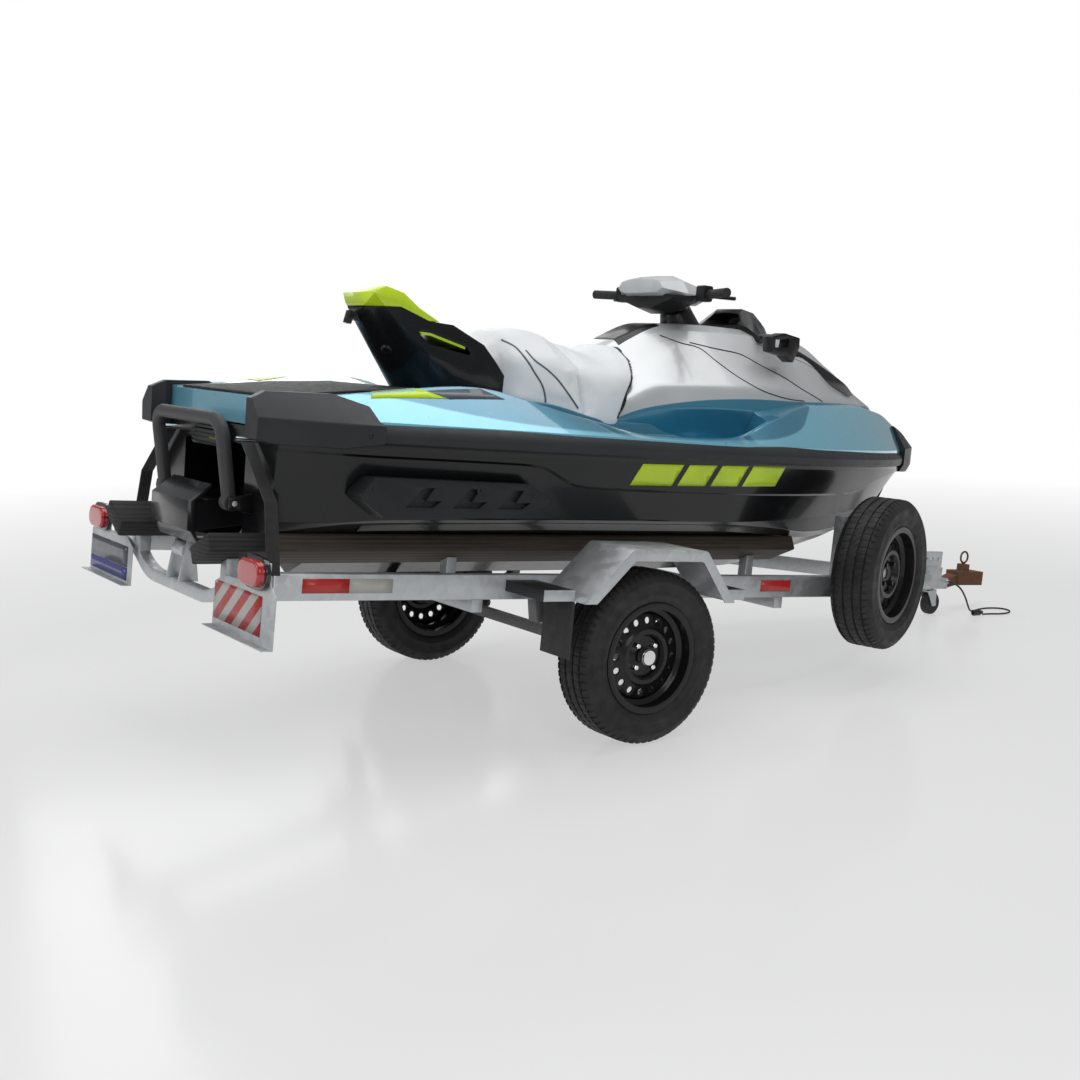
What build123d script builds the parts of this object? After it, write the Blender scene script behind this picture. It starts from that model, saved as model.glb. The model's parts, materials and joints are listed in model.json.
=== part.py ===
from build123d import *
import math
import os

# Personal watercraft parked on its road trailer, in millimetres.
# Two working frames are used before everything is set down on the floor:
#   trailer frame: X forward along the side rails, Z square to them, origin at the axle centre;
#   craft frame: the same origin, turned nose up by CRAFT_PITCH so that the gunwale is level.
# The parked trailer rests nose down on its small caster; TRAILER_PITCH follows from both heights.

CRAFT_PITCH = 1.0
CRAFT = Rot(0, -CRAFT_PITCH, 0)
SEAT_GAP = 0.3          # between curved or slanted pieces that rest on each other
MOVE_GAP = 6.0          # between a moving piece and what it passes
PIN_CLEARANCE = 0.05    # radial, on shafts and pins

# Wheels
TYRE_R = 284.0
TYRE_W = 166.0
TYRE_WALL = 118.0       # from the bead to the tread; the wheel follows it
TREAD_DEPTH = 7.0
TREAD_GROOVES = (-52.0, -18.0, 18.0, 52.0)
GROOVE_W = 8.0
BEAD_R = TYRE_R - TYRE_WALL
FLANGE_H = 16.0
FLANGE_R = BEAD_R + FLANGE_H
WELL_DEPTH = 16.0
WELL_R = BEAD_R - WELL_DEPTH
RIM_W = 140.0
RIM_WALL = 5.0
RIM_HOLES = 16
RIM_HOLE_R = 11.0
LUG_COUNT = 4
LUG_CIRCLE = 50.0
LUG_R = 9.0
HUB_R = 55.0
DISC_FOOT_R = HUB_R + 11.0
# wheel disc: parts of the way from its foot to the well, and how far out along the axle
DISC_PARTS = 82
DISC_FACE = [(82, 8), (74, 24), (34, 34), (24, 42), (10, 42), (0, 22)]
DISC_BACK = [(-4, 16), (6, 36), (22, 36), (32, 28), (70, 18), (80, 2)]
DISC_HOLE_PART = 52
HUB_CAP_R = 27.0
STUB_R = 15.0
WHEEL_Y = 666.0

# Trailer steelwork
RAIL_OUT_Y = 536.0
RAIL_W = 40.0
RAIL_H = 78.0
RAIL_TOP = 240.0
RAIL_REAR = -1335.0
RAIL_FRONT = 1090.0
ARM_H = 62.0
ARM_END = 2250.0        # where the arms' middle lines reach the drawbar
ARM_DROP = 2.6          # degrees that each arm runs down towards the coupler
DRAWBAR_W = 60.0
DRAWBAR_TOP = 157.0
DRAWBAR_H = 49.0
DRAWBAR_REAR = 2080.0
DRAWBAR_FRONT = 2400.0
CROSS_W = 40.0
CLAMP_H = 51.0          # saddle on the drawbar and the winch plate on it
WINCH_PLATE_H = 70.0
WINCH_HOLE_UP = 37.0
WINCH_HOLE_R = 8.0
WINCH_HOLES_X = (2262.0, 2300.0, 2338.0)
CASTER_X = 2285.0
DRAWBAR_REST = 174.54   # the drawbar's top above the floor, over the caster
TRAILER_PITCH = math.degrees(math.atan2(DRAWBAR_TOP, CASTER_X)
                             - math.asin((DRAWBAR_REST - TYRE_R) / math.hypot(CASTER_X, DRAWBAR_TOP)))
AXLE_SIZE = 35.0
AXLE_Z = -18.0
SPRING_Y = 500.0
SPRING_W = 45.0
SPRING_HALF = 300.0

# Fenders
FENDER_IN_Y = 575.0
FENDER_OUT_Y = 796.0
FENDER_T = 3.0
FENDER_LIP = 35.0
FENDER_TOP = TYRE_R + 76.0
FENDER_REAR = -TYRE_R - 61.0
FENDER_FRONT = TYRE_R + 1.0
FENDER_FOOT = 190.0

# Hull
KEEL_Z = 175.0
CHINE_Z = 425.0
BUMPER_LOW = 634.0
SHEER_Z = 668.0
GUNWALE_Z = 700.0
TRANSOM_X = -1215.0
TUNNEL_X = -950.0
TUNNEL_HALF = 235.0
TUNNEL_TOP = 600.0
DEADRISE = math.degrees(math.atan((CHINE_Z - KEEL_Z) / 552.0))

# Footwells and engine room
WELL_REAR = -480.0
WELL_FRONT = 660.0
WELL_IN_Y = 318.0
WELL_OUT_Y = 500.0
WELL_FLOOR = 545.0
ENGINE = (600.0, 380.0, 390.0)
ENGINE_X = 90.0
ENGINE_FLOOR = 290.0
ENGINE_ROOM_GAP = 20.0

# Jet pump
PUMP_Z = 375.0
PUMP_R = 95.0
PUMP_BORE = 80.0
NOZZLE_PIVOT_X = -1155.0
GATE_PIVOT_X = -1150.0
GATE_REACH = 200.0
GATE_W = 300.0

# Steering
STEER_FOOT = (640.0, 0.0, 1100.0)
STEER_LEAN = 25.0
SHAFT_R = 14.0
BAR_R = 11.0
GRIP_Y = 375.0
GRIP_LENGTH = 118.0

nodes = {}


def keep(name, shape, place=None):
    """Stores one sub-part, moved from its working frame to the trailer frame."""
    nodes[name] = place * shape if place is not None else shape


def half_section(x, points):
    """A face square to X, from a half outline (y, z) that starts and ends on the centre plane."""
    mirrored = [(-y, z) for y, z in reversed(points) if y > 0]
    plane = Plane(origin=(x, 0, 0), x_dir=(0, 1, 0), z_dir=(1, 0, 0))
    return plane * make_face(Polyline(*points, *mirrored, close=True))


def half_loft(rows):
    """Straight panels through sections given as (x, half outline)."""
    return loft([half_section(x, points) for x, points in rows], ruled=True)


def side_plate(points, y_low, y_high, radius=None):
    """A plate square to Y, from an outline (x, z)."""
    plane = Plane(origin=(0, y_high, 0), x_dir=(1, 0, 0), z_dir=(0, -1, 0))
    line = FilletPolyline(*points, radius=radius, close=True) if radius else Polyline(*points, close=True)
    return extrude(plane * make_face(line), amount=y_high - y_low)


def end_plate(points, x_low, x_high):
    """A plate square to X, from an outline (y, z)."""
    plane = Plane(origin=(x_low, 0, 0), x_dir=(0, 1, 0), z_dir=(1, 0, 0))
    return extrude(plane * make_face(Polyline(*points, close=True)), amount=x_high - x_low)


def block(x_range, y_range, z_range):
    """A box between two corners."""
    spans = [high - low for low, high in (x_range, y_range, z_range)]
    middle = [(high + low) / 2 for low, high in (x_range, y_range, z_range)]
    return Pos(*middle) * Box(*spans)


def rod(start, end, radius):
    """A round bar from one point to another."""
    run = Vector(*end) - Vector(*start)
    plane = Plane(origin=start, z_dir=run)
    return extrude(plane * Circle(radius), amount=run.length)


def pair(make):
    """The left and the right one of a piece, as two solids of one node."""
    return Compound(children=[make(1), make(-1)])


def tyre():
    """Road tyre about Y, with four grooves round its tread."""
    half = TYRE_W / 2
    tread = []
    for centre in TREAD_GROOVES:
        left, right = centre - GROOVE_W / 2, centre + GROOVE_W / 2
        tread += [(TYRE_R, left), (TYRE_R - TREAD_DEPTH, left), (TYRE_R - TREAD_DEPTH, right), (TYRE_R, right)]
    bead = RIM_W / 2 - RIM_WALL - 8
    lip = RIM_W / 2 - RIM_WALL - SEAT_GAP
    bulge_r = (FLANGE_R + TYRE_R) / 2
    side = [(BEAD_R, bead - SEAT_GAP), (FLANGE_R + SEAT_GAP, lip), (FLANGE_R + 5, half - 9), (bulge_r, half),
            (TYRE_R - 16, half - 8), (TYRE_R - 2, half - 20)]
    profile = [(r, -y) for r, y in side] + tread + [(r, y) for r, y in reversed(side)]
    return revolve(make_face(Polyline(*profile, close=True)), Axis.Y)


def rim(road):
    """Pressed steel wheel about Y, outside towards +Y; a road wheel has its hub and cap."""
    seat_r = BEAD_R - SEAT_GAP
    half = RIM_W / 2
    bead = half - RIM_WALL - 8
    outer = [(FLANGE_R, -half), (FLANGE_R, -half + RIM_WALL), (seat_r, -bead), (seat_r, -30), (WELL_R, -20),
             (WELL_R, 20), (seat_r, 30), (seat_r, bead), (FLANGE_R, half - RIM_WALL), (FLANGE_R, half)]
    inner = [(seat_r - RIM_WALL, half), (seat_r - RIM_WALL, 32), (WELL_R - RIM_WALL, 22), (WELL_R - RIM_WALL, -22),
             (seat_r - RIM_WALL, -32), (seat_r - RIM_WALL, -half)]
    barrel = revolve(make_face(Polyline(*outer, *inner, close=True)), Axis.Y)
    span = (WELL_R - 2 - DISC_FOOT_R) / DISC_PARTS
    face_line = [(DISC_FOOT_R + span * part, y) for part, y in DISC_FACE] + [(STUB_R + 5, 22)]
    back_line = [(STUB_R + 5, 16)] + [(DISC_FOOT_R + span * part, y) for part, y in DISC_BACK]
    disc = revolve(make_face(Polyline(*face_line, *back_line, close=True)), Axis.Y)
    turned = Rot(-90, 0, 0)
    hole_circle = DISC_FOOT_R + span * DISC_HOLE_PART
    for index in range(RIM_HOLES):
        angle = index * 360 / RIM_HOLES
        disc -= Rot(0, angle, 0) * Pos(hole_circle, 27, 0) * turned * Cylinder(RIM_HOLE_R, 40)
    wheel = barrel + disc
    for index in range(LUG_COUNT):
        angle = 45 + index * 360 / LUG_COUNT
        wheel += Rot(0, angle, 0) * Pos(LUG_CIRCLE, 27, 0) * turned * extrude(RegularPolygon(LUG_R, 6), 14, both=True)
    if road:
        wheel += Pos(0, -10, 0) * turned * Cylinder(HUB_R, 60)
        wheel += Pos(0, 38, 0) * turned * Cylinder(HUB_CAP_R, 40)
        wheel -= Pos(0, -15, 0) * turned * Cylinder(STUB_R + PIN_CLEARANCE, 60)
    return wheel


def wheels():
    for side, turn in (("left", 0), ("right", 180)):
        place = Pos(0, WHEEL_Y if side == "left" else -WHEEL_Y, 0) * Rot(0, 0, turn)
        keep(f"tyre_{side}", tyre(), place)
        keep(f"rim_{side}", rim(road=True), place)


# Spare wheel beside the right arm
SPARE_X = 1191.0
SPARE_Y = -628.0
SPARE_Z = 270.0
SPARE_TURN = 17.2


def spare():
    place = Pos(SPARE_X, SPARE_Y, SPARE_Z) * Rot(0, 0, 180 + SPARE_TURN)
    keep("spare_tyre", tyre(), place)
    keep("spare_rim", rim(road=False), place)
    outer = place * Rot(-90, 0, 0)
    bolt = outer * Pos(0, 0, -42) * Cylinder(18, 120)
    disc_stop = outer * Pos(0, 0, 8) * Cylinder(60, 15.4)
    post = block((1060, 1100), (-534, -494), (RAIL_TOP, 467))
    strap = block((1060, 1215), (-534, -522), (RAIL_TOP + 20, RAIL_TOP + 80))
    arm = outer * Pos(0, 0, -50) * Box(60, 60, 100)
    keep("spare_post", post + strap + arm + disc_stop + bolt - trailer_arm(-1) - nodes["spare_rim"])


def trailer_arm(side):
    """One of the two arms that close towards the drawbar."""
    inner = RAIL_OUT_Y - RAIL_W / 2
    run = ARM_END - RAIL_FRONT
    closing = inner - DRAWBAR_W / 2
    angle = math.degrees(math.atan2(closing, run))
    length = math.hypot(closing, run)
    place = Pos(RAIL_FRONT, side * inner, RAIL_TOP - RAIL_H / 2) * Rot(0, 0, -side * angle) * Rot(0, ARM_DROP, 0)
    return place * Pos(length / 2, 0, 0) * Box(length, RAIL_W, ARM_H)


def drawbar_tube():
    half = DRAWBAR_W / 2
    return block((DRAWBAR_REAR, DRAWBAR_FRONT), (-half, half), (DRAWBAR_TOP - DRAWBAR_H, DRAWBAR_TOP))


def chassis():
    for side, sign in (("left", 1), ("right", -1)):
        low, high = sorted((sign * RAIL_OUT_Y, sign * (RAIL_OUT_Y - RAIL_W)))
        rail = block((RAIL_REAR, RAIL_FRONT), (low, high), (RAIL_TOP - RAIL_H, RAIL_TOP))
        keep(f"rail_{side}", rail)
        rail_end = block((RAIL_FRONT - 60, RAIL_FRONT), (low - 9, high + 9), (0, 400))
        drawbar_side = block((0, 3000), (-DRAWBAR_W / 2, DRAWBAR_W / 2), (0, 400))
        keep(f"arm_{side}", trailer_arm(sign) - rail_end - drawbar_side)
    drawbar = drawbar_tube()
    clamp_top = DRAWBAR_TOP + CLAMP_H
    clamp = block((2240, 2350), (-DRAWBAR_W / 2, DRAWBAR_W / 2), (DRAWBAR_TOP, clamp_top))
    plate = block((2230, 2370), (-6, 6), (clamp_top, clamp_top + WINCH_PLATE_H))
    for x in WINCH_HOLES_X:
        plate -= Pos(x, 0, clamp_top + WINCH_HOLE_UP) * Rot(90, 0, 0) * Cylinder(WINCH_HOLE_R, 40)
    keep("drawbar", drawbar + clamp + plate + caster_boss() + lead_gland() - caster_bore())


# Rear end of the trailer
DIP_Z = 122.0
TUBE_H = 38.0
REAR_TUBE_X = -1300.0
REAR_BEND = 290.0


def rear_crossmember():
    """Square tube that dips in the middle to let the keel pass."""
    high = RAIL_TOP - RAIL_H / 2
    inner = RAIL_OUT_Y - RAIL_W
    centre = [(-inner, high), (-395, high - 8), (-250, DIP_Z), (250, DIP_Z), (395, high - 8), (inner, high)]
    plane = Plane(origin=(REAR_TUBE_X, 0, 0), x_dir=(0, 1, 0), z_dir=(1, 0, 0))
    upper = FilletPolyline(*[(y, z + TUBE_H / 2) for y, z in centre], radius=REAR_BEND)
    lower = FilletPolyline(*[(y, z - TUBE_H / 2) for y, z in centre], radius=REAR_BEND)
    ends = [Line(upper @ 0, lower @ 0), Line(upper @ 1, lower @ 1)]
    face = plane * make_face(Wire([*upper.edges(), *lower.edges(), *[e.edge() for e in ends]]))
    tube = extrude(face, amount=CROSS_W / 2, both=True)
    for side in (1, -1):
        low, high_y = sorted((side * 330, side * 370))
        tube += block((REAR_TUBE_X - 20, REAR_TUBE_X + 20), (low, high_y), (180, 330)) - bunk_space(side)
    return tube


def crossmember(x):
    """Straight tube under the rails with a post under each bunk."""
    top = RAIL_TOP - RAIL_H
    inner = RAIL_OUT_Y
    tube = block((x - CROSS_W / 2, x + CROSS_W / 2), (-inner, inner), (top - CROSS_W, top))
    for side in (1, -1):
        low, high = sorted((side * 330, side * 370))
        tube += block((x - 18, x + 18), (low, high), (top - 1, 340)) - bunk_space(side)
    return tube


BUNK_Y = 350.0
BUNK_W = 140.0
BUNK_T = 55.0
BUNK_REAR = -1395.0
BUNK_FRONT = 930.0


def bunk(side, grow=0.0):
    """Padded plank, tilted to lie flat against the bottom of the hull."""
    slope = math.tan(math.radians(DEADRISE))
    surface = KEEL_Z + BUNK_Y * slope
    place = Pos(0, side * BUNK_Y, surface) * Rot(side * DEADRISE, 0, 0)
    length = BUNK_FRONT - BUNK_REAR
    middle = (BUNK_FRONT + BUNK_REAR) / 2
    thick = BUNK_T + grow
    return place * Pos(middle, 0, -SEAT_GAP - thick / 2) * Box(length, BUNK_W + grow, thick)


def bunk_space(side):
    """What a bunk's post has to leave free: the plank and all that is above it."""
    slope = math.tan(math.radians(DEADRISE))
    surface = KEEL_Z + BUNK_Y * slope
    place = Pos(0, side * BUNK_Y, surface) * Rot(side * DEADRISE, 0, 0)
    return CRAFT * place * Pos(0, 0, 100 - SEAT_GAP * 2 - BUNK_T) * Box(4000, 300, 200)


def keel_roller():
    """Roller between two pointed plates, on the dip of the rear crossmember."""
    foot = DIP_Z + TUBE_H / 2
    plates = [end_outline for end_outline in ((-52, -46), (46, 52))]
    shape = None
    for low, high in plates:
        plate = side_plate([(-1332, foot), (-1268, foot), (-1292, 288), (-1308, 288)], low, high)
        shape = plate if shape is None else shape + plate
    shape += rod((-1300, -60, 232), (-1300, 60, 232), 7)
    shape += rod((-1300, -42, 232), (-1300, 42, 232), 24)
    return shape


def leaf_spring(sign):
    """Three leaves clamped on the axle, hung from the rail by two brackets."""
    y_low, y_high = sorted((sign * (SPRING_Y - SPRING_W / 2), sign * (SPRING_Y + SPRING_W / 2)))
    shape = None
    plane = Plane(origin=(0, y_high, 0), x_dir=(1, 0, 0), z_dir=(0, -1, 0))
    leaf_t = 9.0
    foot = AXLE_Z + AXLE_SIZE / 2
    # half length and rise at the ends of each leaf, the longest on top
    for index, (half, rise) in enumerate(((SPRING_HALF, 74), (200, 34), (120, 13))):
        base = foot + (2 - index) * leaf_t
        low = ThreePointArc((-half, base + rise), (0, base), (half, base + rise))
        top = ThreePointArc((-half, base + rise + leaf_t), (0, base + leaf_t), (half, base + rise + leaf_t))
        ends = [Line(low @ 0, top @ 0), Line(low @ 1, top @ 1)]
        face = plane * make_face(Wire([low.edge(), top.edge(), *[e.edge() for e in ends]]))
        leaf = extrude(face, amount=y_high - y_low)
        shape = leaf if shape is None else shape + leaf
    for x in (-SPRING_HALF, SPRING_HALF):
        shape += side_plate([(x - 30, RAIL_TOP - RAIL_H), (x + 30, RAIL_TOP - RAIL_H), (x + 16, 84), (x - 16, 84)],
                            y_low, y_high)
    shape += block((-45, 45), (y_low - 4, y_high + 4), (foot, foot + 40))
    return shape


def axle_beam():
    """Square beam with a round stub into each hub."""
    beam_end = WHEEL_Y - 46
    beam = block((-AXLE_SIZE / 2, AXLE_SIZE / 2), (-beam_end, beam_end),
                 (AXLE_Z - AXLE_SIZE / 2, AXLE_Z + AXLE_SIZE / 2))
    for side in (1, -1):
        low, high = sorted((side * (beam_end - 40), side * beam_end))
        beam += block((-22, 22), (low, high), (-36, 24))
        beam += rod((0, side * (beam_end - 20), 0), (0, side * (WHEEL_Y + 10), 0), STUB_R)
    return beam


def fender(sign):
    """Bent sheet arch with a turned-down outer lip, on two box brackets from the rail."""
    low, high = sorted((sign * FENDER_IN_Y, sign * FENDER_OUT_Y))
    bend_rear = FENDER_REAR + 173
    bend_front = FENDER_FRONT - 145

    def outline(inward, foot_down, bend_in):
        rear, front, top = FENDER_REAR + inward, FENDER_FRONT - inward, FENDER_TOP - inward
        foot = FENDER_FOOT - foot_down
        return [(rear, 60), (rear, foot), (bend_rear + bend_in, top), (bend_front - bend_in, top), (front, foot),
                (front, 60)]

    arch = outline(0, 0, 0)
    inset = outline(FENDER_T, 1, 1)
    lip_in = outline(FENDER_LIP, 14, 14)
    skin = side_plate(arch, low, high, radius=26) - side_plate(inset, low - 1, high + 1, radius=23)
    outer = sorted((sign * (FENDER_OUT_Y - FENDER_T), sign * FENDER_OUT_Y))
    lip = side_plate(arch, *outer, radius=26) - side_plate(lip_in, outer[0] - 1, outer[1] + 1, radius=18)
    floor_cut = block((-500, 500), (-900, 900), (0, FENDER_FOOT))
    shape = skin + lip - floor_cut
    # box brackets behind and ahead of the arch: rear x, front x
    for rear, front in ((FENDER_REAR - 115, FENDER_REAR + FENDER_T), (FENDER_FRONT - FENDER_T, FENDER_FRONT + 95)):
        near, far = sorted((sign * RAIL_OUT_Y, sign * 740))
        bracket = block((rear, front), (near, far), (FENDER_FOOT, 225))
        hollow = block((rear + 4, front - 4), (near - 1, far - 4) if sign > 0 else (near + 4, far + 1),
                       (FENDER_FOOT - 1, 221))
        shape += bracket - hollow
    return shape


FLAP_T = 6.0
FLAP_REACH = 294.0      # the flap's lower edge above the tyre's foot


def mudflap(sign):
    low, high = sorted((sign * 600, sign * 750))
    front = FENDER_REAR - 1
    rear = front - FLAP_T
    foot = FLAP_REACH - TYRE_R
    return side_plate([(rear, foot), (front, foot), (front, FENDER_FOOT), (rear, FENDER_FOOT)], low, high)


BOARD_T = 3.0
BOARD_IN_Y = 340.0
PLATE_HOLES_Y = (430.0, 630.0)
PLATE_HOLE_Z = 135.0
PLATE_HOLE_R = 3.5


def lamp_board(sign):
    """Plate behind the rail end, with a turned lip and a tab that carries the lamp."""
    outline = [(BOARD_IN_Y, 66), (744, 66), (744, 205), (700, 240), (700, 292), (560, 292), (560, 222), (400, 216),
               (BOARD_IN_Y, 190)]
    plate = end_plate([(sign * y, z) for y, z in outline], RAIL_REAR - BOARD_T, RAIL_REAR)
    for y in PLATE_HOLES_Y:
        plate -= Pos(RAIL_REAR, sign * y, PLATE_HOLE_Z) * Rot(0, 90, 0) * Cylinder(PLATE_HOLE_R, 20)
    near, far = sorted((sign * BOARD_IN_Y, sign * 744))
    return plate + block((RAIL_REAR - 34, RAIL_REAR), (near, far), (63, 66))


def lamp(sign):
    """Oval tail lamp with its rubber surround."""
    plane = Plane(origin=(RAIL_REAR - BOARD_T, sign * 627, 258), x_dir=(0, 1, 0), z_dir=(-1, 0, 0))
    surround = extrude(plane * SlotOverall(160, 92), amount=14)
    lens = extrude(plane * SlotOverall(140, 72), amount=34)
    return surround + fillet(lens.faces().sort_by(Axis.X)[0].edges(), 8)


# Caster under the drawbar; it stands upright on the floor while the trailer leans
CASTER_TRAIL = 26.0
CASTER_R = 52.0
CASTER_STEM_R = 9.0
STEM_TOP = DRAWBAR_REST - 14.5
BOSS_Z = DRAWBAR_REST - 31.5
FLOOR = Pos(0, 0, TYRE_R) * Rot(0, TRAILER_PITCH, 0)
UPRIGHT = FLOOR.inverse()


def caster_origin():
    """Where the caster's stem meets the floor, in the floor frame."""
    return (FLOOR * Pos(CASTER_X, 0, DRAWBAR_TOP)).position.X


def caster_boss():
    return UPRIGHT * Pos(caster_origin(), 0, BOSS_Z) * Cylinder(20, 46)


def caster_bore():
    return UPRIGHT * Pos(caster_origin(), 0, BOSS_Z) * Cylinder(CASTER_STEM_R + PIN_CLEARANCE, 80)


def caster():
    x = caster_origin()
    crown = 2 * CASTER_R + 6
    stem = Pos(x, 0, (crown + STEM_TOP) / 2) * Cylinder(CASTER_STEM_R, STEM_TOP - crown)
    top = block((x - 18, x + CASTER_TRAIL + 14), (-26, 26), (crown, crown + 6))
    fork = stem + top
    for side in (1, -1):
        low, high = sorted((side * 21, side * 26))
        points = [(x - 18, crown + 3), (x + CASTER_TRAIL + 14, crown + 3), (x + CASTER_TRAIL + 13, CASTER_R - 12),
                  (x + CASTER_TRAIL - 13, CASTER_R - 12)]
        fork += side_plate(points, low, high)
    fork += rod((x + CASTER_TRAIL, -24, CASTER_R), (x + CASTER_TRAIL, 24, CASTER_R), 6)
    keep("caster_fork", fork, UPRIGHT)
    tread = Pos(x + CASTER_TRAIL, 0, CASTER_R) * Rot(90, 0, 0) * (
        fillet(Cylinder(CASTER_R, 32).edges(), 6) - Cylinder(6 + PIN_CLEARANCE, 40))
    keep("caster_wheel", tread, UPRIGHT)


# Coupler head
BALL_R = 26.0


def coupler():
    """Neck bolted on the drawbar, head with its ball socket, boss and pull ring."""
    rows = [(2401, [(0, 112), (26, 112), (26, 153), (0, 153)]), (2470, [(0, 128), (30, 128), (30, 176), (0, 176)])]
    neck = half_loft(rows)
    head = fillet(block((2466, 2650), (-42, 42), (127, 190)).edges().filter_by(Axis.Z), 12)
    shape = neck + head
    shape += block((2520, 2562), (-20, 20), (189, 222))
    shape -= Pos(2600, 0, 150) * Sphere(BALL_R) + Pos(2600, 0, 130) * Cylinder(BALL_R, 40)
    ring = Pos(2541, 0, 254) * Rot(90, 0, 0) * Torus(26, 4.5)
    shape += rod((2541, 0, 218), (2541, 0, 232), 7) + ring
    return shape


def trailer():
    chassis()
    keep("rear_crossmember", rear_crossmember())
    keep("cross_mid", crossmember(-560.0))
    keep("cross_front", crossmember(760.0))
    keep("keel_roller", keel_roller())
    keep("axle_beam", axle_beam())
    for side, sign in (("left", 1), ("right", -1)):
        keep(f"spring_{side}", leaf_spring(sign))
        keep(f"fender_{side}", fender(sign))
        keep(f"bunk_{side}", bunk(sign), CRAFT)
    keep("mudflaps", pair(mudflap))
    keep("lamp_boards", pair(lamp_board))
    keep("lamps", pair(lamp))
    wheels()
    spare()
    caster()
    keep("coupler", coupler())


# Hull sections, from the transom to the bow: x, keel z, half width at the chine, chine z, half width at the sheer
HULL_ROWS = (
    (TRANSOM_X, KEEL_Z, 430, CHINE_Z - 30, 455),
    (-1050, KEEL_Z, 500, CHINE_Z - 23, 530),
    (-900, KEEL_Z, 530, CHINE_Z - 10, 562),
    (-200, KEEL_Z, 552, CHINE_Z, 603),
    (450, KEEL_Z, 552, CHINE_Z, 600),
    (950, 185, 455, CHINE_Z + 8, 535),
    (1350, 262, 320, CHINE_Z + 25, 410),
    (1620, 360, 200, CHINE_Z + 55, 282),
    (1800, 480, 100, CHINE_Z + 110, 165),
    (1885, 570, 45, CHINE_Z + 165, 95),
)


def hull_body():
    rows = []
    for x, keel, chine_y, chine_z, sheer_y in HULL_ROWS:
        slope = math.tan(math.radians(DEADRISE))
        bottom_z = min(chine_z - 8, keel + (chine_y - 26) * slope)
        outline = [(0, keel), (chine_y - 26, bottom_z), (chine_y, chine_z), (sheer_y, BUMPER_LOW - 20),
                   (sheer_y, SHEER_Z), (0, SHEER_Z)]
        rows.append((x, outline))
    return half_loft(rows)


def footwell(side):
    low, high = sorted((side * WELL_IN_Y, side * WELL_OUT_Y))
    well = block((WELL_REAR, WELL_FRONT), (low, high), (WELL_FLOOR, 1200))
    return fillet(well.edges().filter_by(Axis.Z), 40)


def engine_room():
    length, width, height = ENGINE
    gap = ENGINE_ROOM_GAP
    return block((ENGINE_X - length / 2 - gap, ENGINE_X + length / 2 + gap), (-width / 2 - gap, width / 2 + gap),
                 (ENGINE_FLOOR, ENGINE_FLOOR + height + gap))


# Deck sections: x, sheer half width, shoulder y and z, inner y and z; the middle is flat
DECK_ROWS = (
    (TRANSOM_X, 455, 400, 752, 330, 745),
    (-1050, 530, 455, 766, 345, 760),
    (-900, 562, 450, 788, 335, 778),
    (-560, 584, 430, 822, 300, 802),
    (-200, 603, 515, 752, 300, 790),
    (100, 603, 545, 708, 300, 745),
    (450, 600, 535, 714, 300, 762),
    (700, 570, 490, 790, 320, 850),
    (950, 535, 420, 852, 270, 872),
    (1350, 410, 290, 862, 190, 880),
    (1620, 282, 180, 846, 110, 862),
    (1800, 165, 100, 806, 55, 815),
    (1885, 95, 55, 786, 25, 790),
)


def deck_body():
    rows = []
    for x, sheer_y, shoulder_y, shoulder_z, inner_y, inner_z in DECK_ROWS:
        outline = [(0, SHEER_Z), (sheer_y, SHEER_Z), (sheer_y, GUNWALE_Z), (shoulder_y, shoulder_z),
                   (inner_y, inner_z), (0, inner_z)]
        rows.append((x, outline))
    return half_loft(rows)


# Bumper outline seen from above: x, half width outside
BUMPER_ROWS = (
    (TRANSOM_X - 2, 470), (-1050, 550), (-900, 582), (-200, 623), (450, 618), (950, 555), (1350, 428), (1620, 300),
    (1800, 184),
)


def bumper(sign, inside):
    """Rubbing strip with a raised middle, and the faceted cap on the stern corner."""
    outer = [(x, sign * y) for x, y in BUMPER_ROWS]
    inner = [(x, sign * (y - 60)) for x, y in reversed(BUMPER_ROWS)]
    face = make_face(Polyline(*outer, *inner, close=True))
    strip = Pos(0, 0, BUMPER_LOW) * extrude(face, amount=GUNWALE_Z - BUMPER_LOW)
    # stern cap sections: x, inner y, outer y low, low z, outer y top, top z
    cap_rows = (
        (-1284, 372, 452, 628, 410, 742),
        (-1240, 366, 478, 618, 400, 764),
        (-1062, 440, 562, 618, 470, 770),
        (-960, 470, 582, 634, 500, 742),
    )
    sections = []
    for x, inner_y, low_y, low_z, top_y, top_z in cap_rows:
        plane = Plane(origin=(x, 0, 0), x_dir=(0, 1, 0), z_dir=(1, 0, 0))
        points = [(inner_y, low_z), (low_y, low_z), (low_y + 6, 690), (top_y, top_z), (inner_y, top_z)]
        sections.append(plane * make_face(Polyline(*[(sign * y, z) for y, z in points], close=True)))
    cap = loft(sections, ruled=True)
    return strip + cap - inside


def bow_cap(inside):
    """Moulded nose piece round the bow, under and over the bumper line."""
    rows = [
        (1802, [(0, 606), (170, 608), (192, 640), (192, 705), (120, 798), (0, 812)]),
        (1900, [(0, 604), (120, 606), (140, 640), (138, 712), (80, 772), (0, 784)]),
        (1980, [(0, 606), (62, 608), (78, 640), (74, 712), (42, 742), (0, 750)]),
        (2018, [(0, 616), (26, 618), (34, 640), (32, 700), (18, 716), (0, 720)]),
    ]
    return half_loft(rows) - inside


def sponson(sign):
    """Side fin with its L-shaped vents."""
    outline = [(-1035, 488), (-985, 545), (-440, 540), (-350, 482), (-520, 436), (-950, 430)]
    low, high = sorted((sign * 520, sign * 612))
    fin = side_plate(outline, low, high, radius=14)
    for rear in (-880, -720, -560):
        vent = side_plate([(rear, 462), (rear + 90, 462), (rear + 120, 482), (rear + 66, 482), (rear + 92, 520),
                           (rear + 58, 520)], *sorted((sign * 598, sign * 620)))
        fin -= vent
    return fin


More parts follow.
